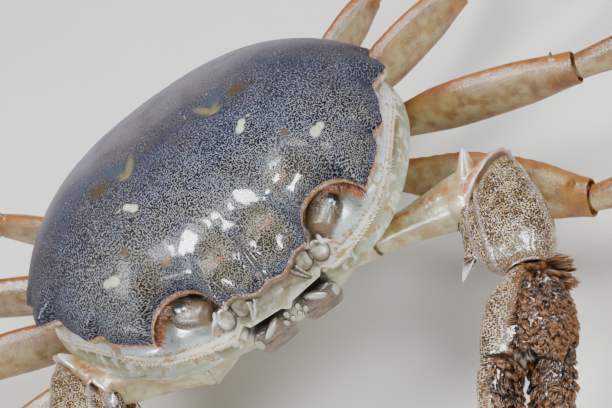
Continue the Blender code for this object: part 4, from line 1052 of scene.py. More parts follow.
def soft_outline(softness):
    """The rim with its teeth and notches smoothed away, as angles, radii and heights."""
    half = np.linspace(0.0, math.pi, 361)
    table = np.array(RIM, float)
    turns = outline_turns(table, 0.05)
    reach = int(3 * softness / half[1])
    weights = np.exp(-0.5 * (np.arange(-reach, reach + 1) * half[1] / softness) ** 2)
    weights /= weights.sum()
    soft = []
    for values in (outline_radii(table), table[:, 2]):
        line = np.pad(np.interp(half, turns, values), reach, mode="reflect")
        soft.append(np.convolve(line, weights, mode="valid"))
    return half, soft[0], soft[1]


def round_points(angles, radii, heights):
    """Points about the body's middle."""
    return np.stack([radii * np.sin(angles), BODY_CENTRE_Y - radii * np.cos(angles),
                     np.broadcast_to(heights, np.shape(radii))], -1)


def region_rise(x, y):
    """Rise of the shell's swellings over the plain dome."""
    rise = np.zeros_like(x)
    for centre_x, centre_y, across, along, height in REGIONS:
        for side in ((1, -1) if centre_x else (1,)):
            rise += height * np.exp(-(((x - side * centre_x) / across) ** 2) - ((y - centre_y) / along) ** 2)
    return rise


# Turns at which the shell is measured, closest along the toothed crest.
HALF_ANGLES = np.radians(np.concatenate([
    np.arange(0.0, 26.0, 0.3), np.arange(26.0, 63.0, 0.11), np.arange(63.0, 100.0, 0.3),
    np.arange(100.0, 179.9, 0.6), [180.0],
]))
# The walls below the rim: the level painted at each outline, and the steps of skin between them.
ROW_LEVELS = (0.0, 0.08, 0.2, 0.34, 0.56, 0.66, 0.84, 1.0)
ROW_STEPS = ((0.3, 0.65, 1.0), (0.2, 0.4, 0.6, 0.8, 1.0), (0.2, 0.4, 0.6, 0.8, 1.0),
             (0.2, 0.4, 0.6, 0.76, 0.88, 0.95, 1.0), (0.05, 0.12, 0.26, 0.5, 0.75, 1.0),
             (0.2, 0.4, 0.6, 0.8, 1.0), (0.25, 0.5, 0.75, 1.0))
CREST_ROW = 4


def front_relief(points):
    """Rise of the lobes behind the front and of the grooves, and how deep in a groove each point is."""
    x, y, z = np.abs(points[..., 0]), points[..., 1], points[..., 2]
    lift = np.zeros_like(x)
    for centre, radii, rise, soft in LOBES:
        away = np.sqrt(((x - centre[0]) / radii[0]) ** 2 + ((y - centre[1]) / radii[1]) ** 2
                       + ((z - centre[2]) / radii[2]) ** 2)
        soft = soft * (1 + 2.4 * smooth_step(-0.3, 0.9, (y - centre[1]) / radii[1]))
        lift += rise * smooth_step(1.0 + soft, 1.0 - soft, away)
    groove = np.zeros_like(x)
    for line, wide, depth in GROOVES:
        dip = np.exp(-((line_distance(x, y, np.array(line)) / wide) ** 2)) * (z > -1.0)
        lift -= depth * dip
        groove = np.maximum(groove, dip * (depth > 0.1))
    return lift, groove


def rim_distance(rings):
    """The way to the rim over the dome from every point of its rings, the last of which is the rim."""
    steps = np.linalg.norm(np.diff(rings, axis=0), axis=2)
    return np.concatenate([np.cumsum(steps[::-1], axis=0)[::-1], np.zeros((1, rings.shape[1]))])


def make_carapace(top, side):
    """The shell: domed top, toothed rim, eye sockets, mouth frame and side walls."""
    half = HALF_ANGLES
    angles = np.concatenate([half, -half[1:-1][::-1]])
    way = np.where(angles < 0, -1.0, 1.0)
    turn = np.abs(angles)
    rim = rim_at(turn) * np.stack([way, np.ones_like(way), np.ones_like(way)], -1)
    steps = np.linalg.norm(np.diff(rim, axis=0, append=rim[:1]), axis=1)
    travel = np.concatenate([[0.0], np.cumsum(steps)[:-1]])
    middle = np.array([0.0, BODY_CENTRE_Y])
    outward = unit(rim[:, :2] - middle)
    bead = np.abs(np.sin(math.pi * travel / BEAD_PITCH))
    bead_step = outward * (BEAD_DEPTH * bead - BEAD_DEPTH)[:, None]
    bead_step = np.concatenate([bead_step, np.zeros((len(angles), 1))], 1)
    plain_rings = []
    for softness in (RIM_SOFTNESS, RIM_ROUNDING):
        soft = soft_outline(softness)
        radii, heights = (np.interp(turn, soft[0], line) for line in soft[1:])
        plain_rings.append(round_points(angles, radii, heights))
    soft_ring, mid_ring = plain_rings
    reach = np.linalg.norm(rim[:, :2] - middle, axis=1)
    backward = 0.5 - 0.5 * np.cos(np.maximum(0.0, turn - BACK_FROM) / (math.pi - BACK_FROM) * math.pi)
    power = DOME_POWER - DOME_POWER_DROP * backward
    fall = DOME_FALL + DOME_FALL_RISE * backward
    across_way = 1 - (1 - np.linspace(0.0, 1.0, DOME_RINGS + 1)) ** RING_CROWDING
    rings, levels = [], []
    for step in across_way[1:]:
        share = step**5
        away = reach * (1 - step)
        ring = share * mid_ring + (1 - share) * soft_ring
        ring = ring + (rim - mid_ring) * np.exp(-((away / RIM_REACH) ** 2))[:, None]
        ring = ring + bead_step * np.exp(-((away / BEAD_REACH) ** 2))[:, None]
        edge = ring[:, 2]
        flat = middle + (ring[:, :2] - middle) * step
        height = edge + (DOME_TOP - edge) * (1 - step**power) ** fall
        height = height + region_rise(flat[:, 0], flat[:, 1]) * (1 - step**4)
        rings.append(np.concatenate([flat, height[:, None]], 1))
        levels.append(np.zeros(len(angles)))
    rim = rim + bead_step
    dome = np.array(rings)
    facing = unit(np.cross(np.gradient(dome, axis=0), np.roll(dome, -1, 1) - np.roll(dome, 1, 1)))
    facing *= np.sign(facing[..., 2:] + 1e-9)
    lift, groove = front_relief(dome)
    still = smooth_step(0.0, 1.2, rim_distance(dome))
    dome += facing * (lift * still)[..., None]
    rings = list(dome)
    edges = rim_distance(dome)
    swell = RIM_SWELL * np.exp(-(((edges - SWELL_AT) / SWELL_WIDTH) ** 2)) * (0.8 + 0.2 * bead)
    for ring, rise in zip(rings, swell):
        ring[:, :2] += outward * rise[:, None] * 0.6
        ring[:, 2] += rise * 0.8
    peak_rise = region_rise(np.array([0.0]), np.array([BODY_CENTRE_Y]))[0]
    peak = np.array((0.0, BODY_CENTRE_Y, DOME_TOP + peak_rise))
    from_peak = np.concatenate([np.broadcast_to(peak, dome[:1].shape), dome])
    roll = np.cumsum(np.linalg.norm(np.diff(from_peak, axis=0), axis=2), axis=0)
    border = np.exp(-((edges / BORDER_WIDTH) ** 2))
    edges = list(edges)
    rows = [rim]
    lip = rim.copy()
    lip[:, :2] -= outward * LIP_IN
    lip[:, 2] -= LIP_DROP
    rows.append(lip)
    for outline in (RECESS, ORBIT_FLOOR, CREST, UNDERCUT, WALL, HEM):
        radii, heights = outline_at(outline, turn)
        rows.append(round_points(angles, radii, heights))
    rows = np.array(rows)
    spots = []
    for index, fractions in enumerate(ROW_STEPS):
        spots += [index + fraction for fraction in fractions]
    spots = np.array(spots)
    made = between_rows(rows.reshape(len(rows), -1), np.minimum(spots, len(rows) - 1.000001))
    made = made.reshape(len(spots), len(angles), 3)
    tooth = (turn - CREST_FROM) / (CREST_TO - CREST_FROM) * CREST_TEETH
    inside = (turn > CREST_FROM) & (turn < CREST_TO)
    saw = np.where(inside, 1 - np.abs(2 * (tooth % 1.0) - 1), 0.0)
    for index, spot in enumerate(spots):
        weight = math.exp(-((spot - CREST_ROW) / CREST_WIDTH) ** 2)
        rise = weight * (CREST_BASE + CREST_TOOTH_RISE * saw) * np.where(turn < math.radians(100), 1.0, 0.4)
        made[index, :, :2] += outward * rise[:, None]
        made[index, :, 2] += 0.3 * rise
    rings += list(made)
    levels += [np.full(len(angles), np.interp(spot, range(8), ROW_LEVELS)) for spot in spots]
    edges += [np.zeros(len(angles))] * len(spots)
    inner = [made[-1] * np.array([share, share, 1.0]) + np.array([0.0, BODY_CENTRE_Y * (1 - share), 0.0])
             for share in (0.96, 0.8, 0.5, 0.2)]
    rings += inner
    levels += [np.ones(len(angles))] * len(inner)
    edges += [np.zeros(len(angles))] * len(inner)
    edges = np.clip(np.array(edges) / RIM_BAND, 0.0, 1.0)
    more = ((0, len(rings) - len(groove)), (0, 0))
    groove, border, roll = np.pad(groove, more), np.pad(border, more), np.pad(roll, more, mode="edge")
    shape = ring_shape(rings, level=np.array(levels), edge=edges, groove=groove, border=border,
                       dot_u=roll * np.sin(angles), dot_v=-roll * np.cos(angles))
    quads = (len(rings) - 1) * len(angles)
    below = np.zeros(len(shape["f"]), int)
    below[(DOME_RINGS - 1) * len(angles):quads] = 1
    below[quads + len(angles):] = 1
    shape["v"][-2] = peak
    return dress("carapace", "shell", shape, top, side, faces_of=below)


def leg_scale(key):
    """How thick a leg is beside the others; the last pair is slimmer."""
    return 0.86 if key[1] == 5 else 1.0


def leg_inner(key):
    """The point inside the breast where a leg's first joint starts."""
    root = LEGS[key][0]
    return np.array((root[0] * 0.62, root[1] * 0.8 + 0.8, root[2] + 0.2))


def claw_inner(side):
    """The point inside the breast where a claw's first joint starts."""
    root = CLAWS[side]["joints"][0]
    return np.array((root[0] * 0.5, root[1] + 2.6, root[2] + 0.4))


# Seams between the breast's plates: where each crosses y, and how far it slants.
SUTURES = ((-7.4, 5.0), (-3.4, 3.0), (2.6, 1.5), (8.4, 1.0))


def make_thorax(paint):
    """The breast, with the short root of every leg and claw and the seams between its plates."""
    count = 240
    angles = around(count)
    turn = np.abs((angles + math.pi) % (2 * math.pi) - math.pi)
    rows = []
    for outline in (BREAST_TOP, BREAST_SIDE, BREAST_EDGE, BREAST_FLAT):
        radii, heights = outline_at(outline, turn)
        rows.append(round_points(angles, radii, heights))
    last = rows[-1] * np.array([0.5, 0.5, 1.0]) + np.array([0.0, 0.9, 0.0])
    last[:, 2] = BREAST_DEPTH + 0.1
    rows.append(last)
    rows = np.array(rows)
    spots = np.linspace(0.0, len(rows) - 1.000001, 26)
    rings = between_rows(rows.reshape(len(rows), -1), spots).reshape(len(spots), count, 3)
    shapes = [ring_shape(rings)]
    stubs = [(leg_inner(key), *LEGS[key][:2], LEG_STUB) for key in LEGS]
    stubs += [(claw_inner(side), *CLAWS[side]["joints"][:2], CLAW_STUB) for side in CLAWS]
    for inner, root, knee, shape in stubs:
        face = joint_face(inner, root, knee)
        rings, *_ = limb(inner, root, (0, 0, 1), shape, None, face, nose=False, count=14)
        shapes.append(ring_shape(rings))
    shape = fused(shapes, 0.2, 4)
    x, y, z = np.abs(shape["v"][:, 0]), shape["v"][:, 1], shape["v"][:, 2]
    seam = np.zeros(len(x))
    for start, slope in SUTURES:
        away = np.abs(y - start - slope * (x - 3.0) / 10.0)
        seam = np.maximum(seam, np.exp(-((away / 0.28) ** 2)))
    seam *= smooth_step(-12.4, -13.4, z) * smooth_step(17.0, 14.0, x)
    shape["v"][:, 2] += 0.28 * seam
    shape["seam"] = seam
    return dress("thorax", "breast", shape, paint)


# The tail flap's path, as (place, y, z, half width).
BELLY_PATH = (
    (0.0, 24.0, -5.3, 9.4), (0.14, 23.7, -7.8, 9.4), (0.3, 21.6, -11.6, 8.6), (0.45, 17.6, -14.8, 7.6),
    (0.62, 11.0, -16.2, 6.2), (0.8, 3.0, -16.5, 4.2), (0.94, -4.4, -16.0, 2.4), (1.0, -7.4, -15.6, 1.0),
)
BELLY_SEGMENTS = 7


def make_abdomen(paint):
    """The tail flap, folded under the breast, in seven overlapping plates."""
    count, sides = 140, 72
    where = np.linspace(0.0, 1.0, count + 1)
    y, z, half = profile_curve(BELLY_PATH, where)
    heading = unit(np.stack([np.zeros_like(y), np.gradient(y), np.gradient(z)], -1))
    outward = np.stack([np.zeros_like(y), -heading[:, 2], heading[:, 1]], -1)
    outward *= np.where((outward[:, 1] > 0) | (outward[:, 2] < 0), 1.0, -1.0)[:, None]
    part = (where * BELLY_SEGMENTS) % 1.0
    thick = 0.74 + 0.2 * smooth_step(0.0, 0.82, part) - 0.2 * smooth_step(0.88, 1.0, part)
    ends = np.clip(np.minimum(where, 1 - where) / 0.012, 0.15, 1.0) ** 0.5
    turn = around(sides)
    centre = np.stack([np.zeros_like(y), y, z], -1)
    side = rounded(np.cos(turn), 2.6)[None] * (half * ends * (1 + 0.02 * np.sin(math.pi * part)))[:, None]
    lift = rounded(np.sin(turn), 2.6)[None] * (thick * ends)[:, None]
    rings = centre[:, None] + np.stack([side, side * 0, side * 0], -1) + outward[:, None] * lift[..., None]
    seam = np.exp(-((np.minimum(part, 1 - part) / 0.06) ** 2)) * 0.8
    seam = np.repeat(seam[:, None], sides, 1)
    return dress("abdomen", "breast", ring_shape(rings, seam=seam), paint)


# The eye: thickness along it, and which way the cornea faces on the left (1) and right (-1).
EYE_PROFILE = ((0.0, 0.8), (0.12, 1.4), (0.32, 1.75), (0.6, 1.95), (0.8, 1.75), (0.93, 1.15), (1.0, 0.4))
CORNEA = {1: (0.66, -0.5, 0.56), -1: (0.0, -0.42, 0.9)}
CORNEA_WIDTH = 0.56


def make_eye(side, word, paint):
    """The eye on its short stalk, lying in its socket, with the dark cornea on its outer end."""
    inner = np.array((side * 7.4, -14.9, -1.9))
    outer = np.array((side * 11.0, -10.9, -1.5))
    _, across, upward = axes_of(inner, outer, (0, 0, 1))
    count, sides = 60, 64
    where = np.linspace(0.0, 1.0, count + 1)
    radius, = profile_curve(EYE_PROFILE, where)
    turn = around(sides)
    centre = inner + (outer - inner) * where[:, None]
    out = across * np.cos(turn)[:, None] + upward * np.sin(turn)[:, None]
    rings = centre[:, None] + out[None] * radius[:, None, None]
    middle = inner + (outer - inner) * 0.68
    heading = unit(rings - middle)
    facing = unit(CORNEA[side])
    cornea = np.exp(-(((1 - heading @ facing) / (CORNEA_WIDTH**2 / 4)) ** 2))
    rings = rings + heading * (0.2 * cornea)[..., None]
    shape = ring_shape(rings, along=np.repeat(where[:, None], sides, 1), cornea=cornea)
    return dress(f"eye_{word}", "eye", shape, paint)


def make_maxilliped(side, word, paint):
    """The mouth's outer cover plate, with the pale lobe and the small bent feeler at its top."""
    top = np.array((side * 3.2, -16.85, -6.6))
    low = np.array((side * 3.1, -13.45, -12.9))
    plate = ((0.0, 2.2, 0.5), (0.3, 2.6, 0.55), (0.5, 2.45, 0.5), (0.555, 2.2, 0.38), (0.61, 2.45, 0.55),
             (0.9, 2.3, 0.5), (1.0, 1.7, 0.38))
    rings, _, turn = limb(low, top, (0, -1, -0.5), plate, square=2.8, sides=64, count=70, nose=False,
                          cup=False)
    edge = np.maximum(near_turn(turn, 0, 16), near_turn(turn, 180, 16))
    shapes = [ring_shape(rings, edge=edge, white=0.9 * edge)]
    for centre, facing, wide, high, thick in (
        ((3.1, -17.35, -6.6), (-0.4, -0.8, 0.5), 1.5, 0.5, 0.45),
        ((0.75, -17.75, -5.9), (0, -1, 0.3), 0.36, 0.5, 0.34),
        ((0.45, -17.85, -6.9), (0, -1, 0.3), 0.33, 0.42, 0.32),
        ((1.3, -17.75, -6.9), (0, -1, 0.3), 0.34, 0.46, 0.32),
        ((5.2, -16.6, -8.2), (0.2, -1, 0.3), 0.5, 0.9, 0.4),
    ):
        mirror = np.array((side, 1, 1))
        piece = lens(mirror * centre, mirror * facing, (side * 0.25, 0.0, 1.0), wide, high, thick)
        piece["white"] = 0.7 - 0.6 * piece["edge"]
        shapes.append(piece)
    shape = fused(shapes, 0.1, 2)
    return dress(f"maxilliped_{word}", "mouthparts", shape, paint)


def feeler(start, end, wide, narrow, steps, bow=0.0):
    """Rings of a thin ringed rod."""
    whip = []
    for i in range(steps + 1):
        size = (wide + (narrow - wide) * i / steps) * (1.0 if i % 2 else 0.82)
        whip.append((i / steps, size, size))
    return limb(start, end, (0, 0, 1), whip, bow=bow, sides=24, count=4 * steps, nose=False, cup=False)


def make_antennule(side, word, paint):
    """The inner feeler: a round base plate and two folded, ringed strands beside the mouth's frame."""
    mirror = np.array((side, 1, 1))
    plate = lens(mirror * (4.25, -16.05, -2.55), mirror * (0.2, -0.85, 0.5), (0, 0, 1), 1.2, 1.3, 0.34)
    shapes = [plate]
    for start, end in (((4.1, -17.35, -4.55), (2.3, -17.1, -1.7)), ((4.2, -17.3, -4.6), (3.1, -17.0, -1.6))):
        rings, _, turn = feeler(mirror * start, mirror * end, 0.2, 0.3, 14, -0.12)
        stripe = 0.6 * near_turn(turn, 200, 50) + 0.2
        shapes.append(ring_shape(rings, edge=stripe, white=0.9 * near_turn(turn, 60, 40)))
    shape = fused(shapes, 0.07, 1)
    return dress(f"antennule_{word}", "mouthparts", shape, paint)


def make_antenna(side, word, paint):
    """The outer feeler: a round base plate under the brow, a pale joint and a short ringed whip."""
    mirror = np.array((side, 1, 1))
    plate = lens(mirror * (6.35, -16.1, -2.7), mirror * (0.35, -0.8, 0.5), (0, 0, 1), 1.25, 1.45, 0.34)
    joint = lens(mirror * (7.1, -16.35, -1.35), mirror * (0.4, -0.8, 0.4), (0.3, 0, 1), 0.3, 0.7, 0.25)
    joint["white"] = 0.9 - 0.6 * joint["edge"]
    rings, where, _ = feeler(mirror * (7.2, -16.5, -1.5), mirror * (8.6, -17.25, -2.9), 0.3, 0.13, 18, 0.25)
    whip = ring_shape(rings, edge=0 * where + 0.2, white=0.8 * smooth_step(0.5, 0.1, where),
                      orange=0.8 * smooth_step(0.2, 0.6, where))
    shape = fused([plate, joint, whip], 0.07, 1)
    return dress(f"antenna_{word}", "mouthparts", shape, paint)


# Walking legs


def leg_joints(key):
    """The joints of a leg, from its root to the toe on the floor."""
    root, knee, heading, _ = LEGS[key]
    lengths = LEG_LENGTHS[key[1]]
    heading = math.radians(heading)
    low, high = -0.3, 1.4
    for _ in range(40):
        pitch = (low + high) / 2
        points = lower_leg(np.array(knee), heading, lengths, pitch)
        if points[-1][2] > FLOOR:
            low = pitch
        else:
            high = pitch
    points[-1][2] = FLOOR - GAP / 2
    return [np.array(root), np.array(knee)] + points


def lower_leg(knee, heading, lengths, pitch):
    """Joints of the lower leg for one pitch, each piece steeper than the last."""
    points = []
    for length, extra in zip(lengths, (-0.38, 0.0, 0.3)):
        down = pitch + extra
        flat = length * math.cos(down)
        knee = knee + np.array((flat * math.cos(heading), flat * math.sin(heading), -length * math.sin(down)))
        points.append(knee)
    return points


def make_leg(key, paints):
    """The four free pieces of a walking leg."""
    side, number = key
    height = LEGS[key][3]
    points = leg_joints(key)
    small = leg_scale(key)
    faces = [joint_face(leg_inner(key), points[0], points[1])]
    faces += [joint_face(points[i - 1], points[i], points[i + 1]) for i in (1, 2, 3)]
    faces.append(np.array((0.0, 0.0, -1.0)))
    ups = (BLADE_UP.get(key, (0, 0, 1)), (0, 0, 1), (0, 0, 1), (0, 0, 1))
    shapes = (scaled(THIGH, small, height / THIGH[2][2]), scaled(KNEE, small, small),
              scaled(SHIN, small, small), scaled(TOE, small, small))
    for i, (name, bow, ridge) in enumerate(zip(LEG_PIECES, (0.25, 0.2, 0.3, 0.5), (0.24, 0.2, 0.16, 0.1))):
        rings, where, turn = limb(
            points[i], points[i + 1], ups[i], shapes[i], faces[i], faces[i + 1], bow=bow, ridge=ridge,
            cup=name != "dactylus",
        )
        orange = 0.9 * near_turn(turn, 90, 20) + 0.8 * near_turn(turn, 270, 14)
        orange = np.clip(orange + 0.8 * smooth_step(0.93, 1.0, where), 0, 1)
        orange = orange * (0.9 if name != "dactylus" else 0.4)
        dotted = np.clip(smooth_step(0.2, 0.7, np.sin(turn)), 0, 1) * (0.9 if name == "carpus" else 0.25)
        pale = 0.85 * np.clip(near_turn(turn, 5, 40) + near_turn(turn, 175, 40), 0, 1)
        pale = pale * smooth_step(0.95, 0.8, where)
        skin = [ring_shape(rings, along=where, orange=orange, dotted=dotted, pale=pale)]
        if name == "merus":
            along = unit(points[1] - points[0])
            upward = unit(np.cross(np.cross(along, (0, 0, 1)), along))
            base = points[0] + (points[1] - points[0]) * 0.9 + upward * height * 0.45
            rings, where = spike(base - upward * 0.5, base + upward * 2.1 + along * 1.2, 0.75, flat=along)
            skin.append(ring_shape(rings, along=0.9, orange=0.6, dotted=0.0, pale=0.0))
            skin = [fused(skin, 0.17, 2)]
        skin[0] = unrolled(skin[0], points[i], points[i + 1], ups[i])
        node = f"leg{number}_{name}_{side}"
        paint = paints["toe"] if name == "dactylus" else paints["leg"]
        slot = "toe" if name == "dactylus" else "leg"
        dress(node, slot, skin[0], paint)
    return points


# Claws


def finger_rings(joints, up, way, sunk):
    """Rings of a finger that curves from the palm's end to its tip, with teeth on its biting edge."""
    along = unit(np.subtract(joints[4], joints[3]))
    palm_along, across, upward = axes_of(joints[2], joints[3], up)
    count, sides = 70, 44
    where = np.linspace(0.0, 1.0, count + 1)
    thick, high = profile_curve(FINGER, where)
    part_away = 2.3 * (1 - where**1.6) + 0.42 + 0.75 * np.sin(math.pi * where)
    centre = np.asarray(joints[3]) + np.subtract(joints[4], joints[3]) * where[:, None]
    centre = centre + upward * (way * part_away)[:, None]
    centre = centre + palm_along * ((-sunk if sunk else GAP) * (1 - where))[:, None]
    heading = unit(palm_along + (along - palm_along) * np.minimum(1.0, where * 2)[:, None])
    turn = around(sides)
    bite = np.clip(-way * np.sin(turn), 0, 1) ** 8
    bites = math.pi * np.clip((where - 0.18) / 0.72, 0, 1)
    tooth = np.sin(bites * FINGER_TEETH) ** 2 * 0.5 * (1 - 0.6 * where)
    tooth = tooth * smooth_step(0.14, 0.24, where) * smooth_step(0.98, 0.9, where)
    out = across * (thick[:, None] * rounded(np.cos(turn), 2.2))[..., None]
    out = out + upward * (high[:, None] * rounded(np.sin(turn), 2.2) - way * tooth[:, None] * bite)[..., None]
    out = out - heading[:, None] * (np.einsum("rsk,rk->rs", out, heading) * (where > 0)[:, None])[..., None]
    rings = centre[:, None] + out
    return rings, np.repeat(where[:, None], sides, 1), np.repeat(turn[None], count + 1, 0)


def slimmed(where, rise):
    """How much the palm's lower half draws in towards the fingers."""
    return 1 - 0.17 * smooth_step(0.45, 1.0, where) * smooth_step(0.0, -1.5, rise)


def palm_surface(joints, up, where, turn, grown=0.0):
    """Points of the palm's surface and the way it faces there."""
    _, across, upward = axes_of(joints[2], joints[3], up)
    thick, high = profile_curve(PALM, np.clip(where, 0, 1))
    centre = np.asarray(joints[2]) + np.subtract(joints[3], joints[2]) * where[:, None]
    facing = unit(across * (np.cos(turn) / thick)[:, None] + upward * (np.sin(turn) / high)[:, None])
    spot = centre + across * (thick * rounded(np.cos(turn), PALM_SQUARE))[:, None]
    rise = high * rounded(np.sin(turn), PALM_SQUARE)
    spot = spot + upward * (rise * slimmed(where, rise))[:, None] + facing * grown
    return spot, facing


# The ridge round the wrist's dome, as (share of its length, way inwards).
LEDGE_LINE = ((-0.02, 1.7), (0.21, 1.75), (0.46, 2.1), (0.71, 2.6), (0.84, 2.9))


def line_distance(x, y, line):
    """The way from flat points to a line of straight pieces."""
    away = np.full(x.shape, 99.0)
    for start, end in zip(line, line[1:]):
        span = end - start
        share = np.clip(((x - start[0]) * span[0] + (y - start[1]) * span[1]) / (span @ span), 0, 1)
        away = np.minimum(away, np.hypot(x - start[0] - share * span[0], y - start[1] - share * span[1]))
    return away


def make_wrist(side, joints, claw, faces, paint):
    """The wrist: a dotted dome, a beaded ridge, and an inner shelf that ends in a broad spine."""
    along, across, upward = axes_of(joints[1], joints[2], claw["wrist_up"])
    inner = across * np.sign(across[0] * (-1.0 if side == "left" else 1.0))
    length = np.linalg.norm(joints[2] - joints[1])

    def spot(place_on, out, rise):
        return joints[1] + along * length * place_on + inner * out + upward * rise

    rings, where, turn = limb(joints[1], joints[2], claw["wrist_up"], WRIST, faces[1], faces[2], ridge=0.1,
                              beads=0.05)
    orange = np.clip(smooth_step(0.88, 0.98, where) + smooth_step(0.05, 0.0, where), 0, 1) * 0.5
    bare = smooth_step(0.1, -0.4, np.sin(turn))
    skin = [ring_shape(rings, orange=orange, white=0 * where, bare=bare)]
    shelf = ((0.0, 0.5, 0.5), (0.2, 1.5, 1.1), (0.72, 1.9, 1.2), (0.9, 1.5, 0.9), (1.0, 0.6, 0.5))
    rings, *_ = limb(spot(0.02, 2.6, 1.0), spot(0.68, 3.9, 0.3), upward, shelf, nose=False, cup=False,
                              square=2.0)
    skin.append(ring_shape(rings, orange=0.0, bare=0.0, white=0.0))
    tip = np.array(claw["wrist_spine"])
    base = spot(0.46, 3.9, 0.2)
    rings, where = spike(base, tip + 0.11 * (tip - base), 1.9, 0.85, flat=upward, curl=0.15, count=30,
                         blunt=0.95)
    skin.append(ring_shape(rings, orange=0 * where, bare=0 * where, white=smooth_step(0.5, 0.9, where)))
    skin = unrolled(fused(skin), joints[1], joints[2], claw["wrist_up"])
    away = skin["v"] - joints[1]
    out = away @ inner
    on_top = smooth_step(0.0, 1.2, away @ upward)
    ridge_line = np.array([(place_on * length, side_way) for place_on, side_way in LEDGE_LINE])
    near = line_distance(away @ along, out, ridge_line)
    ridge = np.exp(-((near / 0.26) ** 2)) * on_top
    dip = np.exp(-((line_distance(away @ along, out, ridge_line + (0.0, 0.7)) / 0.42) ** 2)) * on_top
    grain = 0.75 + 0.25 * np.sin((away @ along) * 2 * math.pi / 0.5)
    skin["v"] = skin["v"] + upward * (0.3 * ridge * grain - 0.38 * dip)[:, None]
    border = smooth_step(0.5, 0.0, np.abs(out - (2.8 + 2.6 * (away @ along) / length))) * on_top
    skin["white"] = np.maximum(skin["white"], 0.4 * ridge * grain)
    skin["orange"] = np.maximum(skin["orange"], 0.15 * dip)
    skin["white"] = np.maximum(skin["white"], 0.25 * border)
    return dress(f"claw_carpus_{side}", "claw", skin, paint)


def matted(side_name, shape, joints, up):
    """Raises the lumps under the coat and marks where the mat lies, by the turn round the palm."""
    along, across, upward = axes_of(joints[2], joints[3], up)
    away = shape["v"] - joints[2]
    side, rise, place_on = away @ across, away @ upward, away @ along
    turn = np.degrees(np.arctan2(rise / 4.6, side / 2.9))
    turn = ((turn if side_name == "left" else 180.0 - turn) - COAT_FIRST) % 360.0
    span = COAT_LAST - COAT_FIRST
    inside = smooth_step(-2.0, 12.0, turn) * smooth_step(span + 2.0, span - 12.0, turn)
    length = np.linalg.norm(joints[3] - joints[2])
    inside = inside * smooth_step(length + 6.5, length + 4.0, place_on)
    lumps = np.array([noise.noise(Vector(p) * 0.9) + 0.5 * noise.noise(Vector(p) * 2.3) for p in shape["v"]])
    facing = unit(across * (side / 8.4)[:, None] + upward * (rise / 21.0)[:, None])
    drawn_in = rise * (slimmed(place_on / length, rise) - 1) * smooth_step(length + 6.0, length, place_on)
    shape["v"] = shape["v"] + upward * drawn_in[:, None] + facing * (inside * (0.22 + 0.42 * lumps))[:, None]
    shape["mat"] = inside
    return shape


def make_claw(side, paints):
    """The four free pieces of a claw: arm, wrist, palm with its fixed finger, movable finger."""
    claw = CLAWS[side]
    joints = [np.array(joint) for joint in claw["joints"]]
    faces = [joint_face(claw_inner(side), joints[0], joints[1]), joint_face(joints[0], joints[1], joints[2]),
             joint_face(joints[1], joints[2], joints[3])]
    rings, where, turn = limb(joints[0], joints[1], claw["arm_up"], ARM, faces[0], faces[1], ridge=0.22,
                              beads=0.05)
    orange = np.clip(0.9 * near_turn(turn, 90, 12) + 0.9 * smooth_step(0.86, 0.92, where), 0, 1)
    orange = orange * (1 - 0.55 * smooth_step(0.96, 0.985, where))
    skin = [ring_shape(rings, orange=orange, white=0.22 * smooth_step(0.97, 0.985, where))]
    tip = np.array(claw["arm_spine"])
    base = joints[0] + (joints[1] - joints[0]) * 0.8
    rings, where = spike(base + (tip - base) * 0.25, tip, 3.0, 2.0, flat=joints[1] - joints[0], blunt=0.9)
    skin.append(ring_shape(rings, orange=0.5 * smooth_step(0.7, 0.4, where),
                           white=0.85 * smooth_step(0.55, 0.9, where)))
    dress(f"claw_merus_{side}", "claw", fused(skin), paints["arm"])

    make_wrist(side, joints, claw, faces, paints["claw"])

    palm_along = unit(joints[3] - joints[2])
    up = claw["palm_up"]
    rings, where, turn = limb(joints[2], joints[3], up, PALM, faces[2], palm_along, square=PALM_SQUARE,
                              cup=False)
    mirrored = turn if side == "left" else math.pi - turn
    bare = 1 - near_turn(mirrored, 106, 70) ** 0.25 * (near_turn(mirrored, 106, 70) > 0.26)
    orange = near_turn(mirrored, 20, 9) + near_turn(mirrored, 162, 9)
    skin = [ring_shape(rings, orange=0.9 * np.clip(orange, 0, 1), white=0 * where, bare=bare)]
    rings, where, turn = finger_rings(joints, up, -1, FINGER_SUNK)
    skin.append(ring_shape(rings, orange=0.3 * smooth_step(0.3, 0.6, where),
                           white=0.9 * near_turn(turn, 270, 50),
                           bare=0 * where + 1))
    skin = matted(side, unrolled(fused(skin), joints[2], joints[3], up), joints, up)
    dress(f"claw_palm_{side}", "claw", skin, paints["claw"])

    rings, where, turn = finger_rings(joints, up, 1, 0.0)
    mirrored = (turn if side == "left" else math.pi - turn) % (2 * math.pi)
    bare = smooth_step(0.5, 0.0, np.sin(turn))
    orange = 0.8 * (near_turn(turn, 45, 12) + near_turn(turn, 135, 12)) * smooth_step(0.0, 0.2, where)
    mat = smooth_step(150.0, 165.0, np.degrees(mirrored)) * smooth_step(310.0, 290.0, np.degrees(mirrored))
    shape = ring_shape(rings, orange=np.clip(orange, 0, 1), white=0.8 * near_turn(turn, 270, 40), bare=bare,
                       mat=mat * smooth_step(0.55, 0.35, where))
    shape = unrolled(shape, joints[3], joints[4], up)
    dress(f"claw_finger_{side}", "claw", shape, paints["claw"])
    return joints


# Hair

# A tuft's rings, as (share of its length, share of its width), and the part of the unwrap it takes.
TUFT_RINGS = ((0.0, 1.0), (0.35, 0.92), (0.72, 0.6), (1.0, 0.06))
TUFT_SIDES = 3
PATCH = 0.003


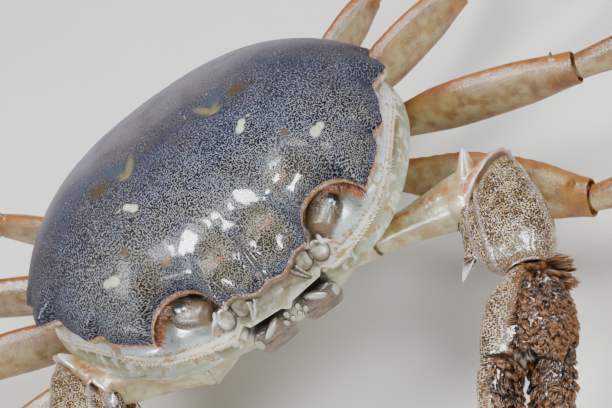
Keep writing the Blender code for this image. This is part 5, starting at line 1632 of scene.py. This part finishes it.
def tufts(name, root, facing, lie, length, radius, clump_shift, rise, uv, tone, paint):
    """Solid tapered tufts, each with its own small patch on the skin's unwrap."""
    count = len(root)
    share = np.array([step for step, _ in TUFT_RINGS])
    wide = np.array([size for _, size in TUFT_RINGS])
    centre = root[:, None] + lie[:, None] * (length[:, None] * share)[..., None]
    centre = centre + facing[:, None] * (rise[:, None] * np.sin(math.pi * (0.08 + 0.72 * share)))[..., None]
    centre = centre + clump_shift[:, None] * (share**1.5)[:, None]
    side = unit(np.cross(lie, facing))
    flat = unit(np.cross(side, lie))
    turn = around(TUFT_SIDES)
    out = side[:, None] * np.cos(turn)[:, None] + flat[:, None] * np.sin(turn)[:, None]
    points = centre[:, :, None] + out[:, None] * (radius[:, None] * wide)[:, :, None, None]
    rings = len(share)
    per = rings * TUFT_SIDES
    ring = np.arange(rings - 1)[:, None] * TUFT_SIDES
    here = ring + np.arange(TUFT_SIDES)
    ahead = ring + (np.arange(TUFT_SIDES) + 1) % TUFT_SIDES
    quads = np.stack([here, ahead, ahead + TUFT_SIDES, here + TUFT_SIDES], -1).reshape(-1, 4)
    triangles = np.concatenate([quads[:, [0, 1, 2]], quads[:, [0, 2, 3]], [[2, 1, 0]],
                                [[per - 3, per - 2, per - 1]]])
    faces = (np.arange(count)[:, None, None] * per + triangles).reshape(-1, 3)
    points = points.reshape(-1, 3)
    a, b, c = (points[faces[:, k]] - points[faces[0, 0]] for k in range(3))
    volume = np.einsum("ij,ij->i", a, np.cross(b, c)).sum()
    if volume < 0:
        faces = faces[:, ::-1]
    data = bpy.data.meshes.new(name)
    points = place(points)
    data.vertices.add(len(points))
    data.vertices.foreach_set("co", points.astype(np.float32).ravel())
    data.loops.add(faces.size)
    data.loops.foreach_set("vertex_index", faces.astype(np.int32).ravel())
    data.polygons.add(len(faces))
    data.polygons.foreach_set("loop_start", np.arange(0, faces.size, 3, dtype=np.int32))
    data.update(calc_edges=True)
    along = np.tile(np.repeat(share, TUFT_SIDES), count)
    keep_value(data, "along", along)
    keep_value(data, "tone", np.repeat(tone, per))
    spread = np.tile(np.repeat(np.arange(rings) / rings, TUFT_SIDES), count) * PATCH
    slide = np.tile(np.tile(np.arange(TUFT_SIDES) / TUFT_SIDES, rings), count) * PATCH
    marks = np.repeat(uv, per, 0) * (1 - PATCH) + np.stack([slide, spread], -1)
    layer = data.uv_layers.new(name="OFBake")
    layer.uv.foreach_set("vector", marks[faces.ravel()].astype(np.float32).ravel())
    data.materials.append(paint)
    data.shade_smooth()
    data.validate()
    return linked(name, data)


# The coat: its tufts, the turns round the palm between which it grows, and the locks it gathers in.
COAT_TUFTS = 9400
COAT_FIRST = 162.0
COAT_LAST = 346.0
COAT_CLUMPS = 420
HEEL_CLUMPS = 26
LOWER_CLUMPS = 120
UPPER_CLUMPS = 90


def finger_surface(joints, up, way, where, turn):
    """Points on a finger's skin and the way it faces there."""
    rings, *_ = finger_rings(joints, up, way, FINGER_SUNK if way < 0 else 0.0)
    count, sides = rings.shape[:2]
    row = np.clip(where * (count - 1), 0, count - 1).astype(int)
    column = (turn / (2 * math.pi) * sides).astype(int) % sides
    spot = rings[row, column]
    return spot, unit(spot - rings[row].mean(1))


def coat_turn(side, degrees):
    """A turn round the left palm in degrees, read as the same place on either palm."""
    return np.radians(degrees if side == "left" else 180.0 - degrees)


def coat_spots(side, joints, up, draw, counts, sunk):
    """Scattered spots of the coat: on the palm, on its heel and on the roots of both fingers."""
    palm, heel, lower, upper = counts
    where = np.concatenate([draw.uniform(0.02, 1.0, palm), draw.uniform(-0.1, 0.14, heel)])
    turned = [draw.uniform(COAT_FIRST, COAT_LAST, palm), draw.uniform(206.0, 292.0, heel)]
    turn = coat_turn(side, np.concatenate(turned))
    spot, facing = palm_surface(joints, up, where, turn, sunk)
    marks = [np.stack([turn / (2 * math.pi) * 0.49 % 0.5, np.clip(where, 0, 1) * 0.96], -1)]
    spots, facings, wheres = [spot], [facing], [where]
    for count, way, first, last, shift in ((lower, -1, 50.0, 240.0, 0.5), (upper, 1, 160.0, 320.0, 0.75)):
        place_on = draw.uniform(0.0, 1.0, count) ** 1.2 * (0.62 if way < 0 else 0.56)
        turned = coat_turn(side, draw.uniform(first, last, count)) % (2 * math.pi)
        spot, facing = finger_surface(joints, up, way, place_on, turned)
        spots.append(spot + facing * sunk)
        facings.append(facing)
        wheres.append(1.0 + place_on)
        marks.append(np.stack([shift + turned / (2 * math.pi) * 0.24, place_on * 0.96], -1))
    return np.concatenate(spots), np.concatenate(facings), np.concatenate(wheres), np.concatenate(marks)


def make_coat(side, joints, paint, seed):
    """The matted coat of a palm, gathered into short wet locks."""
    up = CLAWS[side]["palm_up"]
    draw = np.random.default_rng(seed)
    along = unit(joints[3] - joints[2])
    clumps = (COAT_CLUMPS, HEEL_CLUMPS, LOWER_CLUMPS, UPPER_CLUMPS)
    clump_root, clump_facing, clump_where, _ = coat_spots(side, joints, up, draw, clumps, 0.0)
    count = len(clump_root)
    heel = smooth_step(0.12, 0.0, clump_where)
    lean = np.radians(draw.uniform(0.0, 18.0, count) + 80.0 * heel)
    side_way = np.cross(along, clump_facing)
    clump_lie = unit(along * np.cos(lean)[:, None] + clump_facing * np.sin(lean)[:, None]
                     + side_way * draw.normal(0.0, 0.7, count)[:, None])
    clump_length = draw.uniform(0.7, 1.5, count) + 1.3 * heel
    clump_tip = clump_root + clump_lie * clump_length[:, None]
    clump_tip = clump_tip + clump_facing * draw.uniform(0.1, 0.6, count)[:, None]
    clump_tone = draw.uniform(0.0, 1.0, count)

    share = [int(COAT_TUFTS * part / count) for part in clumps]
    root, facing, _, uv = coat_spots(side, joints, up, draw, share, -0.15)
    number = len(root)
    far = np.linalg.norm(root[:, None] - clump_root[None], axis=2)
    mine = far.argmin(1)
    lie = unit(clump_lie[mine] + draw.normal(0.0, 0.2, (number, 3)))
    length = clump_length[mine] * draw.uniform(0.7, 1.1, number)
    rise = draw.uniform(0.15, 0.55, number)
    tip = root + lie * length[:, None] + facing * (rise * math.sin(0.8 * math.pi))[:, None]
    shift = (clump_tip[mine] - tip) * draw.uniform(0.5, 1.0, number)[:, None]
    radius = draw.uniform(0.07, 0.15, number)
    swirl = 2.0 * np.sin(root @ np.array((0.4, -0.8, 0.6)))
    patches = 0.5 + 0.5 * np.sin(root @ np.array((0.9, 0.5, 0.7)) + swirl)
    tone = np.clip(0.3 * clump_tone[mine] + 0.3 * draw.uniform(0, 1, number) + 0.45 * patches, 0, 1)
    made = tufts(f"coat_{side}", root, facing, lie, length, radius, shift, rise, uv, tone, paint)
    return finished(made, "claw")


def fringe(points, spine, facing, reach, count, draw):
    """Roots and headings of hairs along a limb piece's edge, with their place on it."""
    where = np.sort(draw.uniform(0.06, 0.94, count))
    root = points[0] + (points[1] - points[0]) * where[:, None] + facing * reach(where)[:, None]
    lie = unit(facing + spine * draw.uniform(0.2, 0.9, count)[:, None] + draw.normal(0.0, 0.16, (count, 3)))
    return root, lie, where


# A way that no hair of the legs and arms lies in, to turn their tufts by.
HAIR_TWIST = (0.31, 0.87, 0.38)


def hair_piece(name, parts, twist, lengths, widths, rises, draw, paint):
    """Tufts from lists of roots, headings and places on the unwrap, with drawn sizes."""
    root, lie, uv = (np.concatenate(part) for part in parts)
    count = len(root)
    facing = unit(np.cross(lie, twist))
    return tufts(name, root, facing, lie, draw.uniform(*lengths, count), draw.uniform(*widths, count),
                 np.zeros((count, 3)), draw.uniform(*rises, count), uv, draw.uniform(0, 1, count), paint)


# The hairs in an eye's socket, and the line under the brow that they grow from.
FRINGE_HAIRS = 300
FRINGE_LINE = (
    (14.3, -13.3, -1.7), (13.7, -12.5, -1.1), (13.0, -12.0, -0.5), (12.0, -11.7, 0.0), (10.9, -11.7, 0.4),
)


def make_orbit_fringe(paint, seed):
    """The orange hairs under the brow, round the outer corner of each eye's socket."""
    draw = np.random.default_rng(seed)
    line = np.array(FRINGE_LINE)
    roots, lies, marks = [], [], []
    for side in (1, -1):
        share = draw.uniform(0.0, 1.0, FRINGE_HAIRS) ** 1.2
        spot = share * (len(line) - 1)
        root = np.stack([np.interp(spot, range(len(line)), line[:, k]) for k in range(3)], -1)
        root += draw.normal(0.0, 0.1, root.shape)
        lie = np.array((-0.55, -0.6, -0.6)) + draw.normal(0.0, 0.22, root.shape)
        mirror = np.array((side, 1, 1))
        roots.append(root * mirror)
        lies.append(unit(lie * mirror))
        marks.append(np.stack([0.25 + 0.4 * (side > 0) + 0 * share, share * 0.96], -1))
    made = hair_piece("orbit_fringe", (roots, lies, marks), (0.0, 0.3, 1.0), (0.7, 1.5), (0.05, 0.085),
                      (0.0, 0.2), draw, paint)
    return finished(made, "shell")


# Hairs on one edge of a shin or toe, and how far inside the solids' box, in metres, hair has to stay.
LEG_HAIRS = 70
BOX_MARGIN = 0.00012


def inside_box(points):
    """Whether points in body units lie inside the solids' box, with a small margin."""
    low, high = np.array(CAD_BOX)
    spot = place(points)
    return ((spot > low + BOX_MARGIN) & (spot < high - BOX_MARGIN)).all(-1)


def make_bristles(legs, paint, seed):
    """Stiff hairs on both edges of the shins and toes."""
    draw = np.random.default_rng(seed)
    roots, lies, marks = [], [], []
    for index, (key, points) in enumerate(legs.items()):
        small = leg_scale(key)
        for piece, profile in ((2, SHIN), (3, TOE)):
            along, across, upward = axes_of(points[piece], points[piece + 1], (0, 0, 1))
            for way in (1, -1):
                def reach(where, way=way, profile=profile, small=small, bow=(0.3, 0.5)[piece - 2]):
                    high = profile_curve(profile, where)[1] * small * 0.93
                    return high + way * bow * np.sin(math.pi * where)
                root, lie, where = fringe((points[piece], points[piece + 1]), along, way * upward, reach,
                                          LEG_HAIRS, draw)
                root = root + across * draw.normal(0.0, 0.16, LEG_HAIRS)[:, None]
                roots.append(root)
                lies.append(lie)
                column = (index * 4 + piece - 2 + 0.5 * (way > 0)) / 34
                marks.append(np.stack([0 * where + column, where], -1))
    root, lie, uv = np.concatenate(roots), np.concatenate(lies), np.concatenate(marks)
    count = len(root)
    facing = unit(np.cross(lie, HAIR_TWIST))
    length = draw.uniform(0.7, 1.5, count)
    room = np.where(lie[:, 2] < 0, (root[:, 2] - FLOOR) / np.maximum(-lie[:, 2], 0.05), 9.0)
    length = np.minimum(length, np.maximum(room * 0.9, 0.3))
    for _ in range(8):
        tip = root + lie * length[:, None] + 0.12 * facing * length[:, None]
        length = np.where(inside_box(tip), length, 0.7 * length)
    keep = inside_box(root) & (length > 0.12)
    root, lie, uv, facing, length = (values[keep] for values in (root, lie, uv, facing, length))
    count = len(root)
    made = tufts("leg_bristles", root, facing, lie, length, draw.uniform(0.045, 0.075, count),
                 np.zeros((count, 3)), 0.12 * length, uv, draw.uniform(0, 1, count), paint)
    return finished(made, "leg")


# Hairs on one claw piece, and the way that they hang.
ARM_HAIRS = 260
HANG = np.array((0.0, -0.6, -0.8))


def make_arm_hairs(paint, seed):
    """Brown hairs below the outer end of each claw's arm and round its wrist's edge."""
    draw = np.random.default_rng(seed)
    roots, lies, marks = [], [], []
    for index, side in enumerate(("left", "right")):
        claw = CLAWS[side]
        start, end, far = (np.array(joint) for joint in claw["joints"][:3])
        for part, (first, last, up, profile, span) in enumerate((
            (start, end, claw["arm_up"], ARM, (0.62, 0.97)),
            (end, far, claw["wrist_up"], WRIST, (0.82, 0.98)),
        )):
            along, across, upward = axes_of(first, last, up)
            where = draw.uniform(*span, ARM_HAIRS)
            low = math.atan2(upward @ HANG, across @ HANG) + draw.normal(0.0, 0.4, ARM_HAIRS)
            thick, high = profile_curve(profile, where)
            facing = across * np.cos(low)[:, None] + upward * np.sin(low)[:, None]
            root = first + (last - first) * where[:, None] + across * (0.93 * thick * np.cos(low))[:, None]
            roots.append(root + upward * (0.93 * high * np.sin(low))[:, None])
            lies.append(unit(facing + along * draw.uniform(-0.1, 0.7, ARM_HAIRS)[:, None]
                             + draw.normal(0.0, 0.22, facing.shape)))
            marks.append(np.stack([0.25 * (2 * index + part) + 0.2 * (low % 1.0), where * 0.96], -1))
    made = hair_piece("arm_hairs", (roots, lies, marks), HAIR_TWIST, (1.0, 2.4), (0.06, 0.11), (0.0, 0.3),
                      draw, paint)
    return finished(made, "claw")


# Studio


def make_floor():
    """The plain pale floor that the crab stands on."""
    mesh = bmesh.new()
    bmesh.ops.create_grid(mesh, x_segments=8, y_segments=8, size=3.0)
    data = bpy.data.meshes.new("floor")
    mesh.to_mesh(data)
    mesh.free()
    paint = Paint("floor_paint")
    grain = paint.noise(30.0)
    tint = paint.mix(paint.smooth(grain, 0.3, 0.7), (0.82, 0.82, 0.81), (0.86, 0.86, 0.85))
    data.materials.append(paint.done(tint, 0.6))
    made = linked("floor", data)


def add_light(name, at, target, size, energy, colour):
    """A soft square light that looks at a point; places in body units, energy in watts."""
    light = bpy.data.lights.new(name, "AREA")
    light.shape = "RECTANGLE"
    light.size, light.size_y = size[0] * UNIT, size[1] * UNIT
    light.energy = energy
    light.color = colour
    made = linked(name, light)
    made.location = place(at)
    made.rotation_euler = Vector(np.subtract(target, at)).to_track_quat("-Z", "Y").to_euler()
    return made


# Soft lights that the wet shell doesn't mirror: name, place, target, size, watts and colour.
SOFT_LIGHTS = (
    ("key", (-60, 70, 190), (0, 0, 0), (120, 90), 0.95, (1.0, 0.99, 0.97)),
    ("fill", (130, -50, 120), (10, -10, -5), (90, 90), 0.36, (0.94, 0.97, 1.0)),
    ("front", (-20, -190, 50), (0, -10, -8), (120, 50), 0.25, (1.0, 0.98, 0.95)),
)

# Bright gaps of a soft sky, which the wet shell mirrors: place, target, size and watts.
SKY_GAPS = (
    ((-105, -49, 111), (-4.5, -12.5, 5.8), (52, 62), 1.6),
    ((-6, -69, 145), (0.1, -12.5, 6.3), (40, 34), 0.55),
    ((66, -55, 136), (3.2, -12.4, 6.2), (36, 46), 0.66),
    ((115, -67, 92), (6.1, -12.0, 5.1), (24, 20), 0.24),
    ((114, -116, 27), (7.8, -12.1, 3.6), (30, 22), 0.36),
    ((-128, -84, 16), (-4.8, -15.6, 2.1), (64, 14), 0.5),
)
GAP_COLOUR = (0.93, 0.97, 1.0)
WORLD_COLOUR = (0.80, 0.86, 0.95, 1.0)
WORLD_STRENGTH = 0.2


def make_studio():
    """Floor, world and soft lights."""
    make_floor()
    world = bpy.data.worlds.new("studio")
    world.use_nodes = True
    background = world.node_tree.nodes["Background"]
    background.inputs["Color"].default_value = WORLD_COLOUR
    background.inputs["Strength"].default_value = WORLD_STRENGTH
    bpy.context.scene.world = world
    for light in SOFT_LIGHTS:
        add_light(*light).visible_glossy = False
    for index, gap in enumerate(SKY_GAPS):
        add_light(f"sky_gap_{index}", *gap, GAP_COLOUR).visible_diffuse = False


def make_camera():
    """The camera of the photograph."""
    azimuth, elevation, roll = CAMERA_AZIMUTH, CAMERA_ELEVATION, CAMERA_ROLL
    back = np.array((math.sin(azimuth) * math.cos(elevation), -math.cos(azimuth) * math.cos(elevation),
                     math.sin(elevation)))
    level = np.array((math.cos(azimuth), math.sin(azimuth), 0.0))
    rise = np.cross(back, level)
    right = math.cos(roll) * level + math.sin(roll) * rise
    up = -math.sin(roll) * level + math.cos(roll) * rise
    at = back * CAMERA_DISTANCE - right * CAMERA_SHIFT_RIGHT - up * CAMERA_SHIFT_UP
    data = bpy.data.cameras.new("camera")
    data.lens = LENS_MM
    data.sensor_width = SENSOR_MM
    data.clip_start = 0.01
    data.clip_end = 10.0
    made = linked("camera", data)
    turn = Matrix((right, up, back)).transposed().to_4x4()
    made.matrix_world = Matrix.Translation(Vector(place(at))) @ turn
    bpy.context.scene.camera = made


def main():
    """Dresses the whole crab."""
    make_camera()
    make_studio()
    paints = {"leg": leg_paint(), "toe": toe_paint(), "arm": arm_paint(), "claw": claw_paint()}
    breast, face, mouth, eye = breast_paint(), plate_paint(), mouth_paint(), eye_paint()
    coat = hair_paint("coat_hair", rgb(58, 30, 8), rgb(136, 86, 36), rgb(32, 22, 18))
    bristle = hair_paint("bristle_hair", rgb(104, 60, 20), rgb(176, 120, 52), rgb(70, 38, 14))
    make_carapace(shell_paint(), side_paint())
    make_thorax(breast)
    make_abdomen(breast)
    for side, word in ((1, "left"), (-1, "right")):
        make_eye(side, word, eye)
        make_maxilliped(side, word, mouth)
        make_antennule(side, word, face)
        make_antenna(side, word, face)
    legs = {key: make_leg(key, paints) for key in LEGS}
    for seed, side in enumerate(CLAWS):
        joints = make_claw(side, paints)
        make_coat(side, joints, coat, 11 + seed)
    make_bristles(legs, bristle, 5)
    make_arm_hairs(bristle, 41)
    make_orbit_fringe(hair_paint("orbit_hair", rgb(120, 52, 8), rgb(204, 116, 34), rgb(92, 40, 10)), 7)


main()
